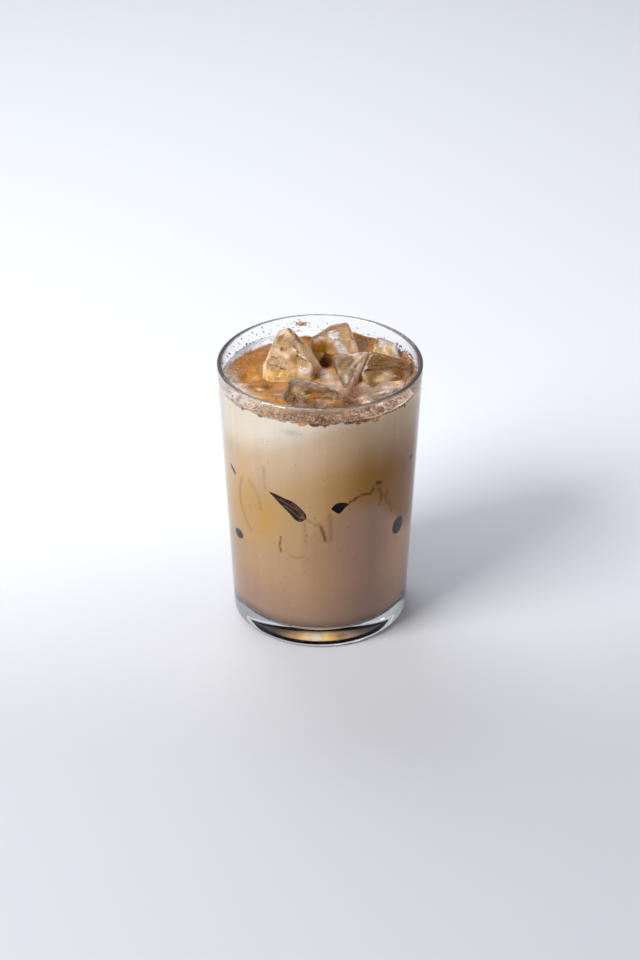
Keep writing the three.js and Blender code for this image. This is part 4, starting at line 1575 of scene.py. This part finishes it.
def band_colours(points, angle, below):
    """The cinnamon at the wall: its colours, and how thick it lies from 0 to 1."""
    colours = round_glass(angle, [(turn, linear(*SEEN[name])) for turn, name in BAND_COLOURS])
    reach = round_glass(angle, BAND_DEPTHS) - below + mixed_noise(points, BAND_NOISE)
    cover = smooth(-BAND_BLUR, BAND_BLUR, reach)
    heights = ragged(points, RAGGED["wall"])[:, 2]
    for name, place, half_sizes in BAND_SPOTS:
        share = flat_spot(angle, heights, place, half_sizes)
        colours = laid_over(colours, share, linear(*SEEN[name]))
        cover = np.maximum(cover, share)
    return colours / round_glass(angle, BAND_LIGHTS)[:, None], cover


def at_wall(points):
    x, y, z = points.T
    return np.abs(np.hypot(x, y) - inner_radius(z) - WALL_REACH) < ON_WALL


def set_drink_values(made):
    """The colour of each point, and how much ground cinnamon lies there."""
    points = points_of(made)
    x, y, z = points.T
    angle = angle_of(x, y)
    below = surface_height(x, y) - z
    on_wall = at_wall(points)
    on_top = ~on_wall & (below < TOP_DEPTH)
    pocket = ~on_wall & ~on_top
    colours = layer_colours(points, angle)
    colours[on_wall] = wall_marks(colours[on_wall], points[on_wall], angle[on_wall])
    colours = foot_light_and_shade(colours, points)
    colours[on_top] = top_colours(points[on_top], angle[on_top])
    in_pocket = POCKET["cover"] * pocket * smooth(*POCKET["depths"], below)
    colours = laid_over(colours, in_pocket, paint(POCKET["colour"], TOP_LIGHT))
    # Painted shade on the pit's walls
    colours = laid_over(colours, pocket & (from_pit(x, y) < PIT_SHADE_WIDTH), paint("rust", TOP_LIGHT))
    set_colours(made, "paint", colours)
    crust, cover = band_colours(points, angle, below)
    set_colours(made, "crust", crust, cover * on_wall)
    crumbly = crumbled(EDGE_RADIUS - np.hypot(x, y), y, angle, CRUMBLED_AT_LEFT)
    ground = crust_at(x, y) * between(GROUND, crumbly)
    set_values(made, "ground", np.where(on_top, ground, cover * on_wall))


def faces_at_glass(made):
    """Which faces of the drink lie against the glass's wall or floor."""
    centres = centres_of(made)
    return at_wall(centres) | (centres[:, 2] < FLOOR_HEIGHT + FLOOR_FILLET)


def drink_material(name, against_glass):
    shader = Shader(name)
    colour, _ = shader.painted("paint")
    crust, cover = shader.painted("crust")
    ground = shader.value("ground")
    grain = shader.noise(*GRAIN["noise"])
    for field in (DRIFT, THREADS):
        colour = shader.shade(colour, field["shades"], shader.noise(*field["noise"]))
    uneven = shader.math("MULTIPLY", shader.math("SUBTRACT", grain, 0.5), CRUST["uneven"])
    broken = shader.step(shader.math("ADD", cover, uneven), CRUST["ends"])
    broken = shader.math("MULTIPLY", broken, shader.step(cover, CRUST["thinnest"]))
    colour = shader.mix(broken, colour, crust)
    rough = shader.mix(ground, (1, 1, 1, 1), shader.shade((1.0, 1.0, 1.0), GRAIN["shades"], grain))
    colour = shader.mix(1.0, colour, rough, "MULTIPLY")
    crumbly = shader.step(ground, CRUMBLY_GROUND)
    crumbs = shader.math("MULTIPLY", crumbly, shader.spots(CRUMBS))
    colour = shader.mix(crumbs, colour, opaque(*CRUMB_COLOUR))
    colour = shader.mix(shader.spots(SPECKS), colour, opaque(*SPECK_COLOUR))
    flecks = shader.math("MULTIPLY", crumbly, shader.spots(FLECKS))
    colour = shader.mix(flecks, colour, opaque(*FLECK_COLOUR))
    shader.principled(
        {
            "Base Color": colour,
            "Roughness": shader.step(ground, (0.0, 1.0), ROUGHNESS),
            "IOR": DRINK_BEND,
            "Specular IOR Level": 0.0 if against_glass else GLOSS_IN_AIR,
            "Normal": shader.bump(grain, GRAIN["height"], GRAIN["strength"]),
        }
    )
    if against_glass:
        shader.mirror_against_glass(DRINK_BEND / GLASS_BEND)
    return shader.material


def add_drink(ice_pieces):
    pockets = pocket_cutter(ice_pieces)
    ice_tree = tree_of(pockets)

    def top(x, y):
        levels = surface_height(x, y)
        near = [ice_tree.find_nearest(Vector(place))[3] for place in zip(x, y, levels)]
        return relief(x, y, np.array(near))

    lower_top, coffee_top = moved(coffee_floor, -JOINT_GAP / 2), moved(milk_floor, -JOINT_GAP / 2)
    lower = layer("brown_milk_coffee", *cavity(), lower_top, JOINT_RINGS)
    coffee = layer("coffee_with_milk", *underside(coffee_floor), coffee_top, JOINT_RINGS)
    milk = layer("milk_with_cinnamon", *underside(milk_floor), top, SURFACE_RINGS)
    windows, _ = window_object("window_cutter", CUTTER_GROWTH, CUTTER_PROUD)
    pit = pit_cutter()
    cut(lower, windows)
    cut(coffee, windows, pockets, pit)
    cut(milk, windows, pockets, pit)
    materials = [drink_material("drink_in_air", False), drink_material("drink_at_glass", True)]
    for made, slot, node_name in (
        (lower, "brown_milk", "lower_milk_coffee"),
        (coffee, "coffee", "upper_coffee"),
        (milk, "spiced_milk", "cinnamon_milk"),
    ):
        set_drink_values(made)
        smooth_shading(made, "drink")
        finished(made, materials, slot, node_name)
        use_second_material(made, faces_at_glass(made))
    for spare in (pockets, windows, pit):
        bpy.data.objects.remove(spare)
    return ice_tree, tree_of(milk)


# The cinnamon

# An octahedron, for a grain
GRAIN_POINTS = np.array([(1, 0, 0), (-1, 0, 0), (0, 1, 0), (0, -1, 0), (0, 0, 1), (0, 0, -1)], float)
GRAIN_FACES = np.array(
    [(0, 2, 4), (2, 1, 4), (1, 3, 4), (3, 0, 4), (2, 0, 5), (1, 2, 5), (3, 1, 5), (0, 3, 5)]
)
GRAIN_WIDTHS = ((0.5, 1), (0.4, 0.9))  # along its second and third axes, as shares of its length
GRAIN_COUNT = 7000
GRAIN_SIZES = (0.1, 0.34)
GRAIN_SEED = 5
# How size and tone are spread: the power of a random number, so that most are small and dark
SPREAD = {"top": 2.5, "tone": 1.4, "line": 2, "wall": 2, "height": 1.6}
# Where the grains fall: how far from the wall they end, how far under the drink's level they still count,
# how likely one stays on the ice and on the milk, and how much a patchy noise adds
FALL = {"from_wall": 0.6, "deepest": 1.5, "patch_noise": (0.25, 3)}
ON_ICE = {"chance": 0.16, "patches": 2.5}
ON_MILK = {"chance": 0.15, "gathered": 0.8, "patches": 0.4}
GATHERED = {"from_wall": (9, 2), "y": (50, -15), "x": (-40, 0)}
# Grains on the inside of the glass: how many, between which azimuths and heights
WALL_GRAINS = [
    (110, (102, 178), (113.2, 118.5)),
    (30, (40, 100), (113.5, 117)),
    (160, (12, 42), (113, 115.5)),
    (60, (-10, 14), (113, 114.5)),
    (14, (178, 215), (113, 115)),
]
WALL_GRAIN_SIZES = (0.2, 0.6)
WALL_GRAIN_GAP = 0.03
# Rows and clusters of grains, as they are seen from the front on one level: points (x, y), half the
# row's width, how many grains and their sizes
LINE_LEVEL = 116
LINE_START = 40  # how far before the level each grain is cast from
LINE_DEEPER = 2  # how much more the grains stray from front to back than to the sides
GRAIN_LINES = [
    ([(-22, 4), (-20, 2), (-17, 1), (-15, -1)], 0.15, 22, (0.15, 0.4)),
    ([(-12, 31), (-10, 24), (-8, 16), (-6, 9), (-3, 2), (0, -2)], 0.5, 70, (0.12, 0.35)),
    ([(-5, 21), (-3, 27), (1, 30), (4, 33.5), (7, 36), (11, 39)], 0.3, 170, (0.25, 0.6)),
    ([(6, 31), (7, 35)], 0.5, 12, (0.15, 0.35)),
    ([(24, 28), (27, 31), (30, 28), (33, 23), (36, 17), (39, 10)], 0.6, 160, (0.25, 0.6)),
    ([(14, 40), (21, 34), (24, 32)], 0.8, 30, (0.2, 0.5)),
    ([(35, 0), (39, 2), (40, -3)], 0.8, 60, (0.25, 0.6)),
    ([(12, -12), (15, -19), (13, -26)], 0.8, 80, (0.2, 0.55)),
    ([(-14, -27), (-10, -29), (-6, -27)], 0.8, 50, (0.15, 0.4)),
    ([(10, -26), (15, -29), (21, -27), (27, -23), (32, -19)], 0.9, 120, (0.2, 0.6)),
    ([(-34, -21), (-28, -29), (-21, -36), (-12, -41)], 0.6, 60, (0.12, 0.35)),
    ([(-3, -3), (-1, -7)], 0.7, 40, (0.2, 0.5)),
]
CLUMP = {"azimuth": 101.5, "height": 116.6, "grains": 40, "spread": 1.1, "sizes": (0.35, 0.9)}
TONES = {"line": (0.1, 0.6), "wall": 0.2, "clump": (0.3, 0.9), "flakes": 0.35}
TONE_COUNT = 5  # how many tones the flakes have
BALL_ROUNDS = 3  # how often the ball that a flake is made of is divided
FLAKE_ROUGHNESS = {"scale": 1.7, "share": 0.25, "first_seed": 60}
CURL = 0.3
CURL_TURN = 7  # gives neighbouring flakes different signs
# The cinnamon's material: its colours from dark to light and between which tones they change
CINNAMON_COLOURS = [(96, 60, 38), (164, 114, 72), (216, 186, 160)]
CINNAMON_TONES = [(0.0, 0.5), (0.4, 1.0)]
CINNAMON_DETAIL = 4.0
CINNAMON_SHADES = (0.6, 1.4)
CINNAMON_ROUGHNESS = 0.7
CINNAMON_BUMP = (0.1, 0.6)
NOISE_PER_MM = {"flakes": 0.9, "grains": 1.5}


def drawn_flakes(ice_tree):
    """The flakes as the solids have them: place, size, width and turn. Those by the ice are left out."""
    random = seeded_random(FLAKE_SEED)
    flakes = []
    for index in range(FLAKE_COUNT):
        gathered = index < FLAKES_GATHERED
        azimuth = math.radians(between(GATHERED_AZIMUTHS if gathered else ALL_AZIMUTHS, next(random)))
        size = between(FLAKE_SIZES, next(random) ** 2)
        outermost = EDGE_RADIUS - 2 * CLEARANCE - size
        inward = next(random)
        radius = outermost - GATHERED_DEPTH * inward if gathered else outermost * math.sqrt(inward)
        width = between(FLAKE_WIDTHS, next(random))
        turn = math.pi * next(random)
        x, y = radius * math.cos(azimuth), radius * math.sin(azimuth)
        z = float(surface_height(np.array([x]), np.array([y]))[0])
        if ice_tree.find_nearest(Vector((x, y, z)))[3] > size and from_pit(x, y) > size:
            flakes.append(((x, y, z), size, width, turn))
    return flakes


def flake_points(ball, index, size, width, turn):
    """A ball made into a rough curled disc."""
    uneven = noise_at(ball, FLAKE_ROUGHNESS["scale"], FLAKE_ROUGHNESS["first_seed"] + index)
    rough = ball * (1 + FLAKE_ROUGHNESS["share"] * uneven)[:, None]
    shaped = rough * (size, size * width, size * FLAKE_FLATNESS)
    shaped[:, 2] += CURL * (shaped[:, 0] ** 2) / size * math.copysign(1, math.sin(CURL_TURN * index))
    cos, sin = math.cos(turn), math.sin(turn)
    return shaped @ np.array([(cos, sin, 0), (-sin, cos, 0), (0, 0, 1)])


def add_flakes(ice_tree):
    """Curled flakes of cinnamon, each a rough disc."""
    ball = bmesh.new()
    bmesh.ops.create_icosphere(ball, subdivisions=BALL_ROUNDS, radius=1)
    ball_points = np.array([tuple(vertex.co) for vertex in ball.verts])
    ball_faces = [tuple(vertex.index for vertex in face.verts) for face in ball.faces]
    ball.free()
    flakes = drawn_flakes(ice_tree)
    blocks = [
        (flake_points(ball_points, index, *shape) + place, ball_faces)
        for index, (place, *shape) in enumerate(flakes)
    ]
    tones = TONES["flakes"] * (np.arange(len(flakes)) % TONE_COUNT) / (TONE_COUNT - 1)
    made = joined("cinnamon_flakes", blocks)
    set_values(made, "tone", np.repeat(tones, len(ball_points)))
    smooth_shading(made, "flakes")
    finished(made, [cinnamon_material("cinnamon_flakes", NOISE_PER_MM["flakes"])], "spiced_milk")


def cinnamon_material(name, per_millimetre):
    shader = Shader(name)
    tone = shader.value("tone")
    colour = opaque(*CINNAMON_COLOURS[0])
    for ends, lighter in zip(CINNAMON_TONES, CINNAMON_COLOURS[1:]):
        colour = shader.mix(shader.step(tone, ends), colour, opaque(*lighter))
    grain = shader.noise(per_millimetre, CINNAMON_DETAIL)
    shader.principled(
        {
            "Base Color": shader.shade(colour, CINNAMON_SHADES, grain),
            "Roughness": CINNAMON_ROUGHNESS,
            "Normal": shader.bump(grain, *CINNAMON_BUMP),
        }
    )
    return shader.material


def grains_on_top(random, ice_tree, milk_tree):
    """Places, sizes and tones of the grains that fell on the drink and the ice."""
    grains = []
    down = Vector((0, 0, -1))
    edge = EDGE_RADIUS - FALL["from_wall"]
    patch_scale, patch_seed = FALL["patch_noise"]
    while len(grains) < GRAIN_COUNT:
        radius, azimuth = edge * math.sqrt(random.random()), random.uniform(0, 2 * math.pi)
        x, y = radius * math.cos(azimuth), radius * math.sin(azimuth)
        above = Vector((x, y, 2 * GLASS_HEIGHT))
        on_ice, ice_normal, _, _ = ice_tree.ray_cast(above, down)
        on_milk, _, _, _ = milk_tree.ray_cast(above, down)
        patch = noise.noise(Vector((x * patch_scale, y * patch_scale, patch_seed)))
        gathered = 0.0
        if on_ice is not None and (on_milk is None or on_ice.z > on_milk.z):
            place = on_ice
            chance = ON_ICE["chance"] * max(0.0, ice_normal.z) * (1 + ON_ICE["patches"] * patch)
        elif on_milk is not None and on_milk.z > DRINK_LEVEL - FALL["deepest"]:
            place = on_milk
            gathered = float(
                smooth(*GATHERED["from_wall"], edge - radius)
                * smooth(*GATHERED["y"], y)
                * smooth(*GATHERED["x"], x)
            )
            chance = ON_MILK["chance"] + ON_MILK["gathered"] * gathered + ON_MILK["patches"] * patch
        else:
            continue
        if random.random() < chance:
            size = between(GRAIN_SIZES, random.random() ** SPREAD["top"]) * (1 + gathered)
            grains.append((tuple(place), size, random.random() ** SPREAD["tone"]))
    return grains


def grains_on_lines(random, ice_tree, milk_tree):
    """The grains that lie in rows and clusters, cast along the view on what is there."""
    lift = math.radians(CAMERA_ELEVATION)
    view = Vector((0, math.cos(lift), -math.sin(lift)))
    grains = []
    for line, half_width, count, sizes in GRAIN_LINES:
        for _ in range(count):
            step = random.random() * (len(line) - 1)
            first, second = line[int(step)], line[int(step) + 1]
            x = between((first[0], second[0]), step % 1) + random.gauss(0, half_width)
            y = between((first[1], second[1]), step % 1) + random.gauss(0, half_width * LINE_DEEPER)
            start = Vector((x, y, LINE_LEVEL)) - view * LINE_START
            hits = [hit for hit in (tree.ray_cast(start, view) for tree in (ice_tree, milk_tree)) if hit[0]]
            reach = min((hit[3] for hit in hits), default=None)
            if reach is None:
                continue
            place = start + view * reach
            if math.hypot(place.x, place.y) < inner_radius(place.z) - sizes[1]:
                size = between(sizes, random.random() ** SPREAD["line"])
                grains.append((tuple(place), size, random.uniform(*TONES["line"])))
    return grains


def grains_on_wall(random):
    grains = []
    for count, azimuths, heights in WALL_GRAINS:
        for _ in range(count):
            azimuth = math.radians(random.uniform(*azimuths))
            height = between(heights, random.random() ** SPREAD["height"])
            size = between(WALL_GRAIN_SIZES, random.random() ** SPREAD["wall"])
            place = on_circle(inner_radius(height) - WALL_GRAIN_GAP, azimuth, height)
            grains.append((place, size, TONES["wall"] * random.random()))
    for _ in range(CLUMP["grains"]):
        size = random.uniform(*CLUMP["sizes"])
        height = CLUMP["height"] + random.gauss(0, CLUMP["spread"] / 2)
        radius = inner_radius(height) - size / 3
        azimuth = math.radians(CLUMP["azimuth"]) + random.gauss(0, CLUMP["spread"]) / radius
        grains.append((on_circle(radius, azimuth, height), size, random.uniform(*TONES["clump"])))
    return grains


def add_grains(ice_tree, milk_tree):
    random = Random(GRAIN_SEED)
    grains = grains_on_top(random, ice_tree, milk_tree)
    grains += grains_on_lines(random, ice_tree, milk_tree) + grains_on_wall(random)
    directions = np.array([[random.gauss(0, 1) for _ in range(6)] for _ in grains])
    corners = len(GRAIN_POINTS)
    points = np.empty((len(grains), corners, 3))
    for index, (place, size, _) in enumerate(grains):
        first = directions[index, :3] / np.linalg.norm(directions[index, :3])
        second = np.cross(first, directions[index, 3:])
        second /= np.linalg.norm(second)
        wide, thick = (random.uniform(*widths) for widths in GRAIN_WIDTHS)
        axes = np.array([first, second * wide, np.cross(first, second) * thick])
        points[index] = GRAIN_POINTS @ axes * size + place
    faces = (GRAIN_FACES[None] + corners * np.arange(len(grains))[:, None, None]).reshape(-1, 3)
    made = object_of("ground_cinnamon", points.reshape(-1, 3), faces.tolist())
    set_values(made, "tone", np.repeat([tone for _, _, tone in grains], corners))
    finished(made, [cinnamon_material("ground_cinnamon", NOISE_PER_MM["grains"])], "spiced_milk")


add_camera()
add_floor()
add_sky()
add_lamps()
add_foot_lamp()
bpy.context.scene.view_settings.view_transform = "Standard"

add_glass()
ice_pieces = add_ice()
ice_tree, milk_tree = add_drink(ice_pieces)
add_sunk_ice()
add_flakes(ice_tree)
add_grains(ice_tree, milk_tree)
